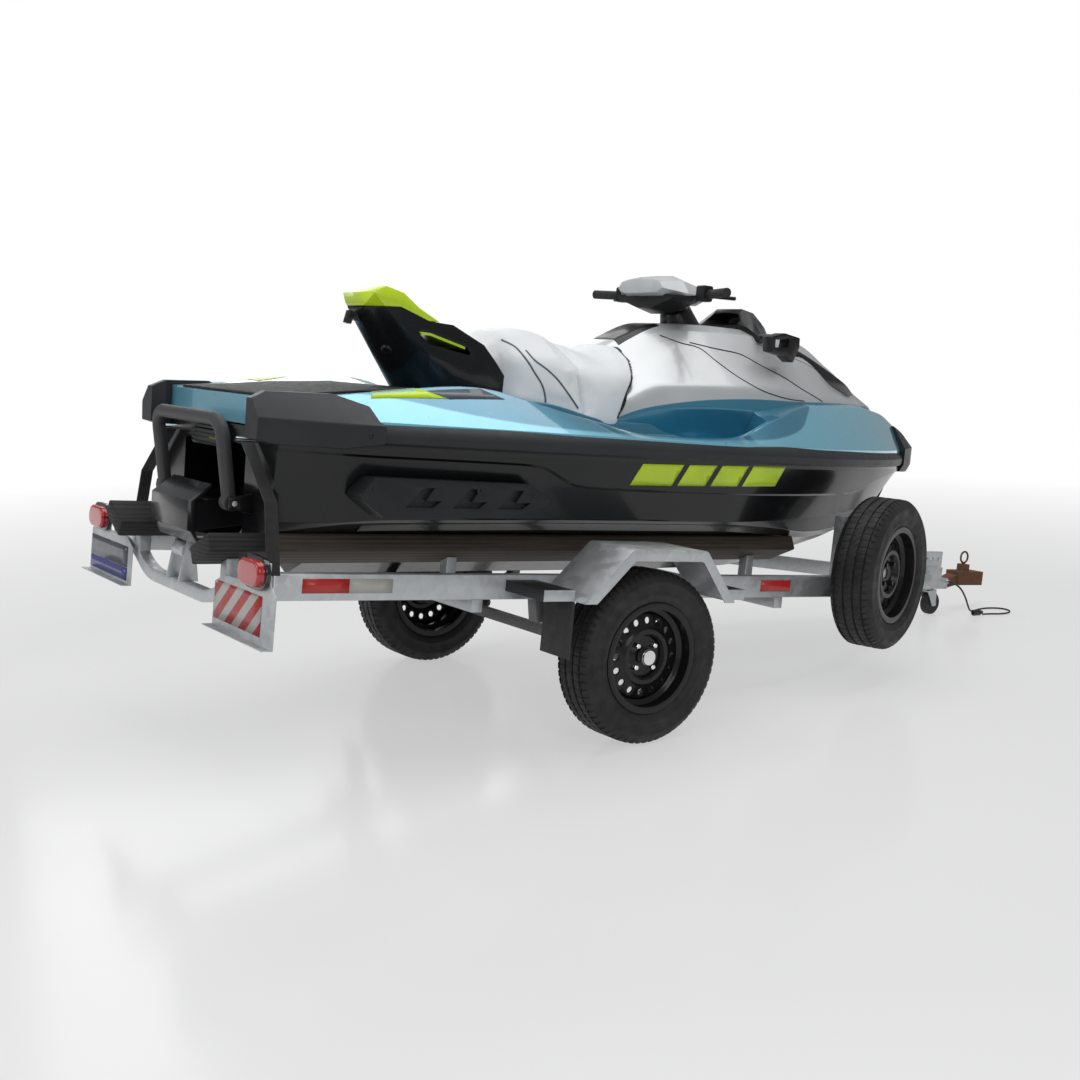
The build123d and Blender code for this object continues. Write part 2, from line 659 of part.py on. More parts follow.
def pump():
    turned = Rot(0, -90, 0)      # the shape's own +Z points aft
    at = Pos(TUNNEL_X - SEAT_GAP, 0, PUMP_Z) * turned
    # profile of the housing: distance aft and radius
    outer = [(0, PUMP_R), (142, PUMP_R), (152, 51), (212, 44)]
    inner = [(212, 38), (152, 44), (142, PUMP_BORE), (0, PUMP_BORE)]
    ring = Polyline(*[(r, a) for a, r in outer], *[(r, a) for a, r in inner], close=True)
    housing = at * revolve(Plane.XZ * make_face(ring), Axis.Z)
    # stator: hub and four vanes behind the impeller
    housing += at * Pos(0, 0, 130) * Cylinder(26, 36)
    for index in range(4):
        housing += at * Rot(0, 0, 45 + 90 * index) * Pos(52, 0, 130) * Box(60, 5, 34)
    # vertical pins for the nozzle and level pins for the gate
    for side in (1, -1):
        housing += Pos(NOZZLE_PIVOT_X, 0, PUMP_Z + side * 63) * Cylinder(7, 38)
        housing += block((GATE_PIVOT_X - 14, -1095), *[sorted((side * 93, side * 101))], (PUMP_Z - 22, PUMP_Z + 22))
        housing += rod((GATE_PIVOT_X, side * 97, PUMP_Z), (GATE_PIVOT_X, side * 134, PUMP_Z), 8)
    housing += block((-1110, -1080), (-101, 101), (PUMP_Z - 22, PUMP_Z + 22)) - Pos(-1095, 0, PUMP_Z) * turned * \
        Cylinder(PUMP_BORE + 2, 80)
    keep("pump_housing", housing, CRAFT)

    hub = at * Pos(0, 0, 72) * Cone(30, 22, 60)
    shaft = at * Pos(0, 0, 26) * Cylinder(14, 52)
    impeller = hub + shaft
    for index in range(3):
        blade = Rot(0, 0, 120 * index) * Pos(48, 0, 72) * Rot(38, 0, 0) * Box(52, 5, 62)
        impeller += at * blade
    keep("impeller", impeller & (at * Pos(0, 0, 60) * Cylinder(PUMP_BORE - MOVE_GAP, 120)), CRAFT)

    aft = Pos(NOZZLE_PIVOT_X, 0, PUMP_Z) * turned
    tube = Polyline((76, -18), (76, 16), (60, 145), (52, 145), (68, 16), (68, -18), close=True)
    nozzle = aft * revolve(Plane.XZ * make_face(tube), Axis.Z)
    nozzle -= Pos(NOZZLE_PIVOT_X, 0, PUMP_Z) * Cylinder(7 + PIN_CLEARANCE, 200)
    keep("steering_nozzle", nozzle, CRAFT)

    # the gate stands behind the nozzle: two arms and a curved rear wall
    face_x = GATE_PIVOT_X - GATE_REACH
    wall = side_plate([(face_x, PUMP_Z - 42), (face_x + 12, PUMP_Z - 46), (face_x + 34, PUMP_Z - 84),
                       (face_x + 42, PUMP_Z - 80), (face_x + 20, PUMP_Z - 36), (face_x + 20, PUMP_Z + 44),
                       (face_x + 74, PUMP_Z + 92), (face_x + 68, PUMP_Z + 98), (face_x, PUMP_Z + 46)],
                      -GATE_W / 2, GATE_W / 2)
    gate = wall
    for side in (1, -1):
        low, high = sorted((side * 118, side * 128))
        arm = side_plate([(face_x + 14, PUMP_Z - 50), (face_x + 14, PUMP_Z + 56), (GATE_PIVOT_X + 20, PUMP_Z + 22),
                          (GATE_PIVOT_X + 20, PUMP_Z - 22)], low, high)
        gate += arm - rod((GATE_PIVOT_X, side * 90, PUMP_Z), (GATE_PIVOT_X, side * 140, PUMP_Z), 8 + PIN_CLEARANCE)
    keep("reverse_gate", gate, CRAFT)
    plate = block((TRANSOM_X - 30, TUNNEL_X - SEAT_GAP), (-190, 190), (256, 266))
    keep("ride_plate", fillet(plate.edges().filter_by(Axis.Z), 20), CRAFT)


# Straps from the tow eyes on the transom, over the hull's edge, to the rails
STRAP_W = 40.0
STRAP_T = 3.0
STRAP_X = -1252.0
STRAP_TOP = (300.0, 590.2)
STRAP_BEND = (488.0, 433.0)
EYE = (293.4, 617.5)
EYE_R = 8.0

# Boarding step: a loop that stands folded against the stern
STEP_PIVOT = (-1268.0, 430.0)
STEP_HALF = 255.0
STEP_TOP = 240.0
STEP_TUBE_R = 21.0


def boarding_step():
    pivot_x, pivot_z = STEP_PIVOT
    lean = -38
    points = [(pivot_x, -STEP_HALF, pivot_z), (pivot_x + lean, -STEP_HALF, pivot_z + STEP_TOP),
              (pivot_x + lean, STEP_HALF, pivot_z + STEP_TOP), (pivot_x, STEP_HALF, pivot_z)]
    path = FilletPolyline(*points, radius=55)
    start = Plane(origin=path @ 0, z_dir=path % 0)
    loop = sweep(start * Circle(STEP_TUBE_R), path=path)
    shape = loop
    for side in (1, -1):
        shape += rod((pivot_x, side * (STEP_HALF - 20), pivot_z), (pivot_x, side * (STEP_HALF + 20), pivot_z), 24)
        shape -= rod((pivot_x, side * (STEP_HALF - 60), pivot_z), (pivot_x, side * (STEP_HALF + 60), pivot_z),
                     10 + PIN_CLEARANCE)
    return shape


def step_brackets():
    """Two ears on the transom with the pins that the step turns on, the vent over the jet and two tow eyes."""
    pivot_x, pivot_z = STEP_PIVOT
    shape = side_plate([(TRANSOM_X + 20, 582), (TRANSOM_X + 20, 660), (TRANSOM_X - 6, 660), (TRANSOM_X - 36, 628),
                        (TRANSOM_X - 38, 590), (TRANSOM_X - 32, 582)], -95, 95)
    for side in (1, -1):
        eye_y, eye_z = side * EYE[0], EYE[1]
        shape += rod((TRANSOM_X + 20, eye_y, eye_z), (STRAP_X - STRAP_W / 2 - 4, eye_y, eye_z), EYE_R)
    for side in (1, -1):
        low, high = sorted((side * (STEP_HALF + 25), side * (STEP_HALF + 39)))
        ear = side_plate([(TRANSOM_X + 20, pivot_z - 34), (TRANSOM_X + 20, pivot_z + 34), (pivot_x - 16, pivot_z + 16),
                          (pivot_x - 16, pivot_z - 16)], low, high)
        ear += rod((pivot_x, side * (STEP_HALF - 18), pivot_z), (pivot_x, side * (STEP_HALF + 38), pivot_z), 10)
        shape += ear
    return shape


# Upper body between the seat and the bow, before its lids are cut out:
# x, foot y, skirt y, skirt z, side y, side z, top y, top z; the foot stands at BODY_FOOT
BODY_ROWS = (
    (120, 300, 302, 750, 300, 800, 90, 930),
    (300, 318, 338, 800, 312, 880, 110, 1050),
    (470, 326, 380, 815, 350, 890, 130, 1112),
    (760, 400, 412, 820, 392, 900, 175, 1124),
    (1040, 385, 376, 830, 358, 890, 200, 1120),
    (1300, 280, 274, 820, 262, 878, 165, 1035),
    (1560, 165, 160, 800, 150, 858, 95, 935),
    (1720, 80, 76, 790, 70, 840, 50, 878),
)
BODY_FOOT = 700.0
# Hood: it turns on two hinge barrels at its rear upper edge and closes on a slanted plane
HINGE = (841.0, 1124.0)
HINGE_R = 5.0
KNUCKLE_FIXED = (62.0, 80.0)
KNUCKLE_HOOD = (80.3, 98.0)
HOOD_REAR = 840.0
HOOD_SEAM_REAR = 1072.0
HOOD_SEAM_FRONT = 862.0
HOOD_FRONT = 1725.0
LID_REAR = 270.0
LID_FRONT = 452.0


def body():
    rows = []
    for x, foot_y, skirt_y, skirt_z, side_y, side_z, top_y, top_z in BODY_ROWS:
        rows.append((x, [(0, BODY_FOOT), (foot_y, BODY_FOOT), (skirt_y, skirt_z), (side_y, side_z),
                         (top_y, top_z - 26), (top_y * 0.6, top_z), (0, top_z)]))
    return half_loft(rows)


def hood_region(gap):
    points = [(HOOD_REAR - gap, 1400), (HOOD_REAR - gap, HOOD_SEAM_REAR - gap), (HOOD_FRONT + gap,
              HOOD_SEAM_FRONT - gap), (HOOD_FRONT + gap, 1400)]
    return side_plate(points, -260 - gap, 260 + gap)


def knuckles(span, gap=0.0):
    """The hinge barrels of one leaf, left and right; with a gap they are the room for the other leaf."""
    x, z = HINGE
    near, far = span[0] - gap, span[1] + gap
    return pair(lambda side: rod((x, side * near, z), (x, side * far, z), HINGE_R + gap))


def lid_region(gap):
    points = [(LID_REAR - gap, 1300), (LID_REAR - gap, 1004 - gap), (LID_FRONT + gap, 1078 - gap),
              (LID_FRONT + gap, 1300)]
    return side_plate(points, -95 - gap, 95 + gap)


# Seat sections: x, skirt y, skirt z, side y, side z, top y, top z
SEAT_ROWS = (
    (-400, 140, 792, 130, 880, 80, 930),
    (-290, 160, 784, 150, 905, 100, 990),
    (-240, 235, 778, 196, 920, 112, 1022),
    (-189, 262, 772, 222, 925, 120, 1031),
    (-90, 290, 752, 240, 925, 120, 1030),
    (-20, 318, 728, 262, 915, 115, 1012),
    (60, 336, 712, 280, 905, 108, 990),
    (120, 336, 716, 285, 905, 105, 976),
    (200, 325, 745, 280, 915, 110, 1004),
    (262, 300, 790, 262, 930, 115, 1030),
)
SEAT_SPLIT = -20.0


def seat_body():
    rows = []
    for x, skirt_y, skirt_z, side_y, side_z, top_y, top_z in SEAT_ROWS:
        rows.append((x, [(0, skirt_z - 6), (skirt_y - 30, skirt_z - 6), (skirt_y, skirt_z + 10), (side_y, side_z),
                         (top_y, top_z - 12), (top_y * 0.5, top_z), (0, top_z)]))
    return half_loft(rows)


# Tail fairing, outline from the side
TAIL_BLACK = [(-600, 800), (-758, 1020), (-764, 1052), (-660, 1058), (-560, 1022), (-470, 1018), (-352, 962),
              (-262, 858), (-252, 800)]
TAIL_LIME = [(-764, 1052.5), (-752, 1098), (-712, 1120), (-650, 1104), (-596, 1062), (-520, 1022.5), (-560, 1022.5),
             (-660, 1058.5)]
TAIL_SLOT = [(-602, 985), (-560, 984), (-420, 950), (-396, 922), (-560, 948)]
TAIL_LEAN = 35.7        # degrees that the rear edge leans aft
# plan of the rounded rear, square to that edge: distance ahead of the edge, half width
TAIL_NOSE = [(0, 26), (26, 76), (58, 120), (100, 148), (640, 240)]


def tail_pieces():
    core = side_plate(TAIL_BLACK, -165, 165, radius=9)
    taper = half_loft([(-900, [(0, 700), (120, 700), (86, 1200), (0, 1200)]),
                       (-600, [(0, 700), (172, 700), (110, 1200), (0, 1200)]),
                       (-200, [(0, 700), (205, 700), (125, 1200), (0, 1200)])])
    plan = TAIL_NOSE + [(x, -y) for x, y in reversed(TAIL_NOSE)]
    prism = extrude(make_face(Polyline(*plan, close=True)), amount=500, both=True)
    nose = Pos(TAIL_BLACK[0][0], 0, TAIL_BLACK[0][1]) * Rot(0, -TAIL_LEAN, 0) * prism
    hook = side_plate([(-742, 1000), (-742, 1022), (-784, 1036), (-794, 996), (-780, 992), (-774, 1010)], -16, 16)
    lime = side_plate(TAIL_LIME, -140, 140) & taper & nose
    slot = side_plate(TAIL_SLOT, -200, 200, radius=6)
    return (core & taper & nose) + hook, slot, lime


def steering(hull_side):
    foot = Vector(*STEER_FOOT)
    lean = Location(STEER_FOOT, (0, -STEER_LEAN, 0))
    cone = lean * Pos(0, 0, 26) * Cone(86, 58, 108)
    cone -= lean * Cylinder(SHAFT_R + PIN_CLEARANCE, 400)
    keep("steering_cone", cone - hull_side, CRAFT)

    hub_h = 86
    path = FilletPolyline((512, -GRIP_Y, 1226), (560, -180, 1222), (580, 0, 1210), (560, 180, 1222), (512, GRIP_Y, 1226),
                          radius=60)
    bar = sweep(Plane(origin=path @ 0, z_dir=path % 0) * Circle(BAR_R), path=path)
    shaft = lean * Pos(0, 0, 60) * Cylinder(SHAFT_R, 120)
    flange = lean * Pos(0, 0, hub_h + 6) * Cylinder(46, 12)
    shape = bar + shaft + flange
    for side in (1, -1):
        # switch pod, then lever
        shape += Pos(538, side * 232, 1226) * Rot(0, 0, side * 8) * fillet(Box(46, 52, 58).edges(), 8)
        shape += rod((575, side * 232, 1220), (585, side * 345, 1212), 7)
        shape += rod((540, side * 232, 1222), (577, side * 232, 1220), 9)
    shape += half_loft([
        (450, [(0, 1168), (40, 1168), (150, 1200), (168, 1214), (0, 1228)]),
        (540, [(0, 1153), (60, 1153), (168, 1198), (186, 1216), (0, 1228)]),
        (612, [(0, 1186), (50, 1186), (120, 1200), (140, 1212), (0, 1226)]),
    ])
    pod = half_loft([
        (424, [(0, 1222), (96, 1222), (128, 1238), (110, 1262), (70, 1270), (0, 1272)]),
        (500, [(0, 1190), (112, 1190), (196, 1222), (152, 1270), (96, 1288), (0, 1290)]),
        (620, [(0, 1190), (100, 1190), (170, 1218), (134, 1252), (84, 1266), (0, 1268)]),
    ])
    keep("handlebar", shape, CRAFT)
    keep("bar_pod", pod - shape, CRAFT)
    keep("grips", pair(grip), CRAFT)


def grip(side):
    start = Vector(512, side * GRIP_Y, 1226)
    inward = (Vector(560, side * 180, 1222) - start).normalized()
    sleeve = rod(tuple(start - inward * 6), tuple(start + inward * GRIP_LENGTH), 17)
    return sleeve - rod(tuple(start), tuple(start + inward * 200), BAR_R + PIN_CLEARANCE)


def craft():
    hull = hull_body()
    deck = deck_body()
    tunnel = block((TRANSOM_X - 50, TUNNEL_X), (-TUNNEL_HALF, TUNNEL_HALF), (0, TUNNEL_TOP))
    hull = hull - tunnel - engine_room()
    deck = deck - engine_room()
    for side in (1, -1):
        hull -= footwell(side)
        deck -= footwell(side)
    hull += step_brackets()
    inside = hull + deck
    keep("hull", hull, CRAFT)
    keep("deck", deck, CRAFT)
    length, width, height = ENGINE
    engine = Pos(ENGINE_X, 0, ENGINE_FLOOR + height / 2) * Box(length, width, height)
    keep("engine_block", engine, CRAFT)
    for side, sign in (("left", 1), ("right", -1)):
        keep(f"bumper_{side}", bumper(sign, inside), CRAFT)
        keep(f"sponson_{side}", sponson(sign) - inside, CRAFT)
    keep("bow_cap", bow_cap(inside), CRAFT)
    mat = block((-1200, -660), (-325, 325), (740, 812))
    mat = mat & (Pos(0, 0, 8) * deck_body())
    keep("rear_mat", mat - inside, CRAFT)

    black, slot, lime = tail_pieces()
    black = black - inside - mat
    seat = seat_body() - inside - black - mat
    keep("tail_fairing", black - slot, CRAFT)
    keep("tail_cap", lime - black, CRAFT)
    front = seat & block((SEAT_SPLIT + SEAT_GAP, 900), (-500, 500), (500, 1300))
    rear = seat & block((-900, SEAT_SPLIT), (-500, 500), (500, 1300))
    keep("seat_front", front, CRAFT)
    keep("seat_rear", rear, CRAFT)

    whole = body() - inside - seat_body()
    hood = (whole & hood_region(0)) - knuckles(KNUCKLE_FIXED, SEAT_GAP) + knuckles(KNUCKLE_HOOD)
    shaft_bore = Location(STEER_FOOT, (0, -STEER_LEAN, 0)) * Cylinder(SHAFT_R + PIN_CLEARANCE, 400)
    console = whole - hood_region(2.0) - lid_region(1.0) - shaft_bore - knuckles(KNUCKLE_HOOD, SEAT_GAP)
    console += knuckles(KNUCKLE_FIXED)
    lid = whole & lid_region(0)
    keep("console", console, CRAFT)
    keep("hood", hood, CRAFT)
    keep("glovebox_lid", lid, CRAFT)
    keep("hood_cowl", hood_cowl() - body(), CRAFT)
    steering(whole)
    pump()
    keep("boarding_step", boarding_step(), CRAFT)


# Dash hood that opens to the rear, with wings that run back to the mirror frames:
# x, wing y low, wing z low, wing y high, wing z high, crown y, crown z, ridge y, ridge z
COWL_ROWS = (
    (848, 216, 1078, 224, 1094, 150, 1132, 80, 1150),
    (888, 206, 1067, 214, 1086, 118, 1180, 70, 1206),
    (955, 150, 1070, 156, 1100, 112, 1160, 66, 1196),
    (1030, 78, 1080, 84, 1110, 60, 1146, 36, 1164),
    (1098, 16, 1085, 18, 1100, 14, 1112, 8, 1118),
)
COWL_FOOT = 1090.0
MIRROR = [(790, 1094), (856, 1113), (938, 1102), (940, 1066), (912, 1006), (872, 1030), (800, 1040)]
MIRROR_HOLE = [(812, 1086), (884, 1097), (880, 1062), (812, 1056)]
MIRROR_Y = (295.0, 345.0)


def hood_cowl():
    rows = []
    for x, low_y, low_z, high_y, high_z, crown_y, crown_z, ridge_y, ridge_z in COWL_ROWS:
        rows.append((x, [(0, COWL_FOOT), (low_y, low_z), (high_y, high_z), (crown_y, crown_z), (ridge_y, ridge_z),
                         (0, ridge_z)]))
    mouth = half_loft([(840, [(0, 1140), (96, 1140), (104, 1158), (74, 1192), (0, 1197)]),
                       (950, [(0, 1150), (60, 1150), (64, 1162), (48, 1176), (0, 1180)])])
    shape = half_loft(rows) - mouth
    near, far = MIRROR_Y
    for sign in (1, -1):
        low, high = sorted((sign * near, sign * far))
        frame = side_plate(MIRROR, low, high, radius=6)
        frame -= side_plate(MIRROR_HOLE, low - 1, high + 1, radius=6)
        shape += frame + block((850, 876), sorted((sign * 205, sign * (near + 5))), (1090, 1108))
    return shape


def tie_strap(side):
    foot = (RAIL_OUT_Y + 2.9, RAIL_TOP - 4)
    runs = []
    for (y_a, z_a), (y_b, z_b) in ((STRAP_TOP, STRAP_BEND), (STRAP_BEND, foot)):
        start, end = Vector(STRAP_X, side * y_a, z_a), Vector(STRAP_X, side * y_b, z_b)
        plane = Plane(origin=start, z_dir=end - start, x_dir=(1, 0, 0))
        runs.append(extrude(plane * Rectangle(STRAP_W, STRAP_T), amount=(end - start).length + STRAP_T / 2))
    return runs[0] + runs[1]


# Trailer's lighting lead
LEAD_D = 8.0
# route of the lighting lead on the floor frame, from its gland beside the drawbar to its plug
LEAD_POINTS = (
    (2392, -40, 148), (2393, -72, 146), (2400, -104, 128), (2413, -122, 88), (2432, -124, 46), (2462, -114, 14),
    (2510, -98, 4.4), (2570, -86, 4.4), (2628, -98, 4.4), (2668, -138, 4.4), (2660, -190, 4.4), (2614, -220, 4.4),
    (2560, -212, 4.4), (2520, -178, 4.4), (2486, -166, 4.4),
)
PLUG_R = 14.0
PLUG_LENGTH = 52.0
GLAND_R = 9.0


def lighting_lead():
    """Free lead with its plug lying on the floor; the gland is a boss beside the drawbar."""
    points = [Vector(*point) for point in LEAD_POINTS]
    runs = [(b - a).length for a, b in zip(points, points[1:])]
    radii = []
    for index in range(1, len(points) - 1):
        turn = (points[index] - points[index - 1]).get_angle(points[index + 1] - points[index])
        shorter = min(runs[index - 1], runs[index])
        radii.append(0.45 * shorter / math.tan(math.radians(turn / 2)))
    path = FilletPolyline(*points, radius=radii)
    tube = sweep(Plane(origin=path @ 0, z_dir=path % 0) * Circle(LEAD_D / 2), path=path)
    print("lead", round(path.length), "long, radii", [round(r) for r in radii])
    print("lead volume over section times length", tube.volume / (math.pi * LEAD_D ** 2 / 4 * path.length))
    keep("lead", tube, UPRIGHT)
    end = points[-1]
    aim = (end - points[-2]).normalized()
    heading = math.degrees(math.atan2(aim.Y, aim.X))
    place = Pos(end.X, end.Y, PLUG_R + 0.4) * Rot(0, 0, heading)
    plug = place * Pos(PLUG_LENGTH / 2, 0, 0) * Rot(0, 90, 0) * Cylinder(PLUG_R, PLUG_LENGTH)
    keep("lead_plug", plug, UPRIGHT)


def lead_gland():
    """Boss between the drawbar's side and the start of the lead."""
    start = Vector(*LEAD_POINTS[0])
    inward = (start - Vector(*LEAD_POINTS[1])).normalized()
    return UPRIGHT * rod(tuple(start + inward * 16), tuple(start), GLAND_R)


def main():
    craft()
    trailer()
    keep("straps", pair(tie_strap))
    lighting_lead()
    os.makedirs("parts", exist_ok=True)
    standing = {name: FLOOR * shape for name, shape in nodes.items()}
    boxes = [shape.bounding_box() for shape in standing.values()]
    low = min(box.min.X for box in boxes)
    high = max(box.max.X for box in boxes)
    centre = Pos(-(low + high) / 2, 0, 0)
    print("origin lies", (low + high) / 2, "ahead of the axle")
    for name, shape in standing.items():
        export_step(centre * shape, f"parts/{name}.step")


main()
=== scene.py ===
import json
import math

import bmesh
import bpy
import numpy as np
from mathutils import Matrix, Vector
from mathutils.bvhtree import BVHTree


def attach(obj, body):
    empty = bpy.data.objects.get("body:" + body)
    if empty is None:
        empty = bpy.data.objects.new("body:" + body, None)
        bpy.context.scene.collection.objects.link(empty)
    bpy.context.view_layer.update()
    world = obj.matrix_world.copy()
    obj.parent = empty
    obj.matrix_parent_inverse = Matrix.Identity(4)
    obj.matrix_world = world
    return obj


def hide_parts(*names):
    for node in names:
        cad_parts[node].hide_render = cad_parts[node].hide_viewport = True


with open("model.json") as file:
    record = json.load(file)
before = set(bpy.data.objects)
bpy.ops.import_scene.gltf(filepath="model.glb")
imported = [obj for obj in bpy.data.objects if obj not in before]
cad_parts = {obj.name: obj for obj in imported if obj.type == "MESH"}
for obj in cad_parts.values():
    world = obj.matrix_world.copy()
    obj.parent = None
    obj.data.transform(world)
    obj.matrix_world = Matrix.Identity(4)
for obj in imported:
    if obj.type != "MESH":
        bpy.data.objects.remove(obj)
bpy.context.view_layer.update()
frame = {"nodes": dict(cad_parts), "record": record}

# the trailer parks nose down on its caster, and the craft lies one degree nose up on the trailer
stance = {"trailerLean": 6.67, "craftLift": 1.0, "axleHeight": 0.284, "axleBehindCentre": 0.652944}
floorFrame = Matrix.Translation((-stance["axleBehindCentre"], 0, 0))
trailerFrame = (Matrix.Translation((-stance["axleBehindCentre"], 0, stance["axleHeight"]))
                @ Matrix.Rotation(math.radians(stance["trailerLean"]), 4, "Y"))
craftFrame = trailerFrame @ Matrix.Rotation(math.radians(-stance["craftLift"]), 4, "Y")
root = "frame_and_hull"
paint = {}


# shader helpers

def startMaterial(name):
    paint[name] = bpy.data.materials.new(name)
    paint[name].use_nodes = True
    tree = paint[name].node_tree
    return tree, tree.nodes["Principled BSDF"]


def wire(tree, node, inputs):
    # each input gets a link or a value of its own
    for key, value in inputs.items():
        if isinstance(value, bpy.types.NodeSocket):
            tree.links.new(value, node.inputs[key])
        else:
            node.inputs[key].default_value = value


def addNode(tree, kind, inputs=None, **settings):
    made = tree.nodes.new(kind)
    for key, value in settings.items():
        setattr(made, key, value)
    wire(tree, made, inputs or {})
    return made


def objectPlace(tree, frameMatrix=None):
    where = addNode(tree, "ShaderNodeTexCoord").outputs["Object"]
    if frameMatrix is None:
        return where
    inverse = frameMatrix.inverted()
    turned = addNode(tree, "ShaderNodeMapping", {"Vector": where, "Location": inverse.to_translation(),
                                                 "Rotation": inverse.to_euler("XYZ")})
    return turned.outputs["Vector"]


def noiseAt(tree, where, scale, detail=3.0, rough=0.5):
    return addNode(tree, "ShaderNodeTexNoise", {"Vector": where, "Scale": scale, "Detail": detail,
                                                "Roughness": rough}).outputs["Fac"]


def spread(tree, value, low, high, fromLow=0.3, fromHigh=0.7):
    return addNode(tree, "ShaderNodeMapRange", {"Value": value, "From Min": fromLow, "From Max": fromHigh,
                                                "To Min": low, "To Max": high}).outputs["Result"]


def mixColors(tree, factor, first, second):
    first, second = [value if isinstance(value, bpy.types.NodeSocket) else (*value, 1) for value in (first, second)]
    return addNode(tree, "ShaderNodeMix", {0: factor, 6: first, 7: second}, data_type="RGBA").outputs[2]


def combine(tree, operation, first, second=0.0):
    return addNode(tree, "ShaderNodeMath", {0: first, 1: second}, operation=operation).outputs[0]


def bumpOf(tree, height, strength, depth, below=None):
    inputs = {"Height": height, "Strength": strength, "Distance": depth}
    if below is not None:
        inputs["Normal"] = below
    return addNode(tree, "ShaderNodeBump", inputs).outputs["Normal"]


def cellsAt(tree, where, scale, **settings):
    return addNode(tree, "ShaderNodeTexVoronoi", {"Vector": where, "Scale": scale}, **settings).outputs


def bandsAt(tree, where, pitch, direction):
    bandsPerScale = 3.18  # a wave texture's own count of bands
    return addNode(tree, "ShaderNodeTexWave", {"Vector": where, "Scale": 1 / pitch / bandsPerScale},
                   bands_direction=direction).outputs["Fac"]


def axesOf(tree, where):
    return addNode(tree, "ShaderNodeSeparateXYZ", {"Vector": where}).outputs


def flaked(tree, where, color, amount):
    # metal flakes: each small cell of the paint a little lighter or darker
    flakesPerMetre = 2600
    bright = spread(tree, cellsAt(tree, where, flakesPerMetre)["Distance"], 1 - amount, 1 + amount, 0.1, 0.7)
    return addNode(tree, "ShaderNodeHueSaturation", {"Color": color, "Value": bright}).outputs["Color"]


def belowCurve(tree, where, line, soft=0.003, low=0.6, high=1.1):
    # 1 under a curve of heights along x, 0 above it
    axes = axesOf(tree, where)
    first, last = line[0][0], line[-1][0]
    along = spread(tree, axes["X"], 0, 1, first, last)
    curve = addNode(tree, "ShaderNodeFloatCurve", {"Value": along})
    points = curve.mapping.curves[0].points
    for index, (x, z) in enumerate(line):
        at = ((x - first) / (last - first), (z - low) / (high - low))
        if index in (0, len(line) - 1):
            points[0 if index == 0 else len(points) - 1].location = at
        else:
            points.new(*at)
    curve.mapping.update()
    edge = spread(tree, curve.outputs["Value"], low, high, 0, 1)
    return spread(tree, combine(tree, "SUBTRACT", edge, axes["Z"]), 0, 1, -soft, soft)


def shades(color, amount):
    return tuple(min(1.0, c * (1 + amount)) for c in color)


# moulded, painted and cast finishes: colour, roughness, metal, lacquer, grain size, grain depth, gloss
plainFinishes = {
    "hull_black": ((0.006, 0.0065, 0.0075), 0.22, 0, 0.25, 900, 0.02, 0.25),
    "bumper_grey": ((0.030, 0.031, 0.034), 0.40, 0, 0, 1400, 0.12, 0.25),
    "fin_grey": ((0.018, 0.019, 0.021), 0.40, 0, 0, 1200, 0.10, 0.25),
    "tail_black": ((0.007, 0.007, 0.008), 0.26, 0, 0.2, 1400, 0.05, 0.25),
    "tail_lime": ((0.60, 0.83, 0.012), 0.30, 0, 0.5, 900, 0.02, 0.5),
    "trim_black": ((0.009, 0.009, 0.010), 0.32, 0, 0.2, 1300, 0.08, 0.25),
    "bar_black": ((0.010, 0.010, 0.011), 0.38, 0, 0, 1500, 0.10, 0.25),
    "pod_grey": ((0.60, 0.61, 0.62), 0.30, 0, 0.4, 900, 0.03, 0.5),
    "engine_iron": ((0.11, 0.11, 0.12), 0.62, 0.7, 0, 220, 0.4, 0.5),
    "pump_black": ((0.006, 0.006, 0.007), 0.22, 0, 0.3, 700, 0.05, 0.25),
    "impeller_steel": ((0.55, 0.55, 0.57), 0.22, 1, 0, 500, 0.06, 0.5),
    "pump_aluminium": ((0.13, 0.13, 0.135), 0.5, 0.8, 0, 320, 0.3, 0.5),
    "gate_grey": ((0.016, 0.016, 0.018), 0.24, 0, 0.2, 900, 0.05, 0.35),
    "axle_steel": ((0.17, 0.17, 0.175), 0.5, 0.6, 0, 260, 0.3, 0.5),
    "wheel_black": ((0.008, 0.008, 0.009), 0.30, 0, 0.2, 600, 0.06, 0.25),
    "flap_rubber": ((0.035, 0.035, 0.036), 0.62, 0, 0, 420, 0.4, 0.5),
    "caster_rubber": ((0.030, 0.030, 0.031), 0.66, 0, 0, 380, 0.4, 0.5),
    "lead_rubber": ((0.022, 0.022, 0.023), 0.5, 0, 0, 700, 0.2, 0.5),
    "plug_plastic": ((0.030, 0.030, 0.032), 0.40, 0, 0, 900, 0.15, 0.5),
    "bright_steel": ((0.72, 0.72, 0.72), 0.22, 1, 0, 500, 0.08, 0.5),
    "lime_film": ((0.60, 0.83, 0.012), 0.34, 0, 0.3, 900, 0.02, 0.5),
    "grey_film": ((0.085, 0.10, 0.12), 0.36, 0, 0.3, 900, 0.02, 0.5),
    "red_film": ((0.56, 0.022, 0.018), 0.34, 0, 0.3, 420, 0.10, 0.5),
    "white_film": ((0.54, 0.53, 0.49), 0.38, 0, 0.3, 420, 0.10, 0.5),
    "blue_film": ((0.055, 0.055, 0.26), 0.36, 0, 0.3, 900, 0.02, 0.5),
    "plate_dark": ((0.055, 0.058, 0.085), 0.32, 0, 0.3, 900, 0.02, 0.5),
    "yellow_film": ((0.80, 0.62, 0.03), 0.4, 0, 0, 900, 0.02, 0.5),
}


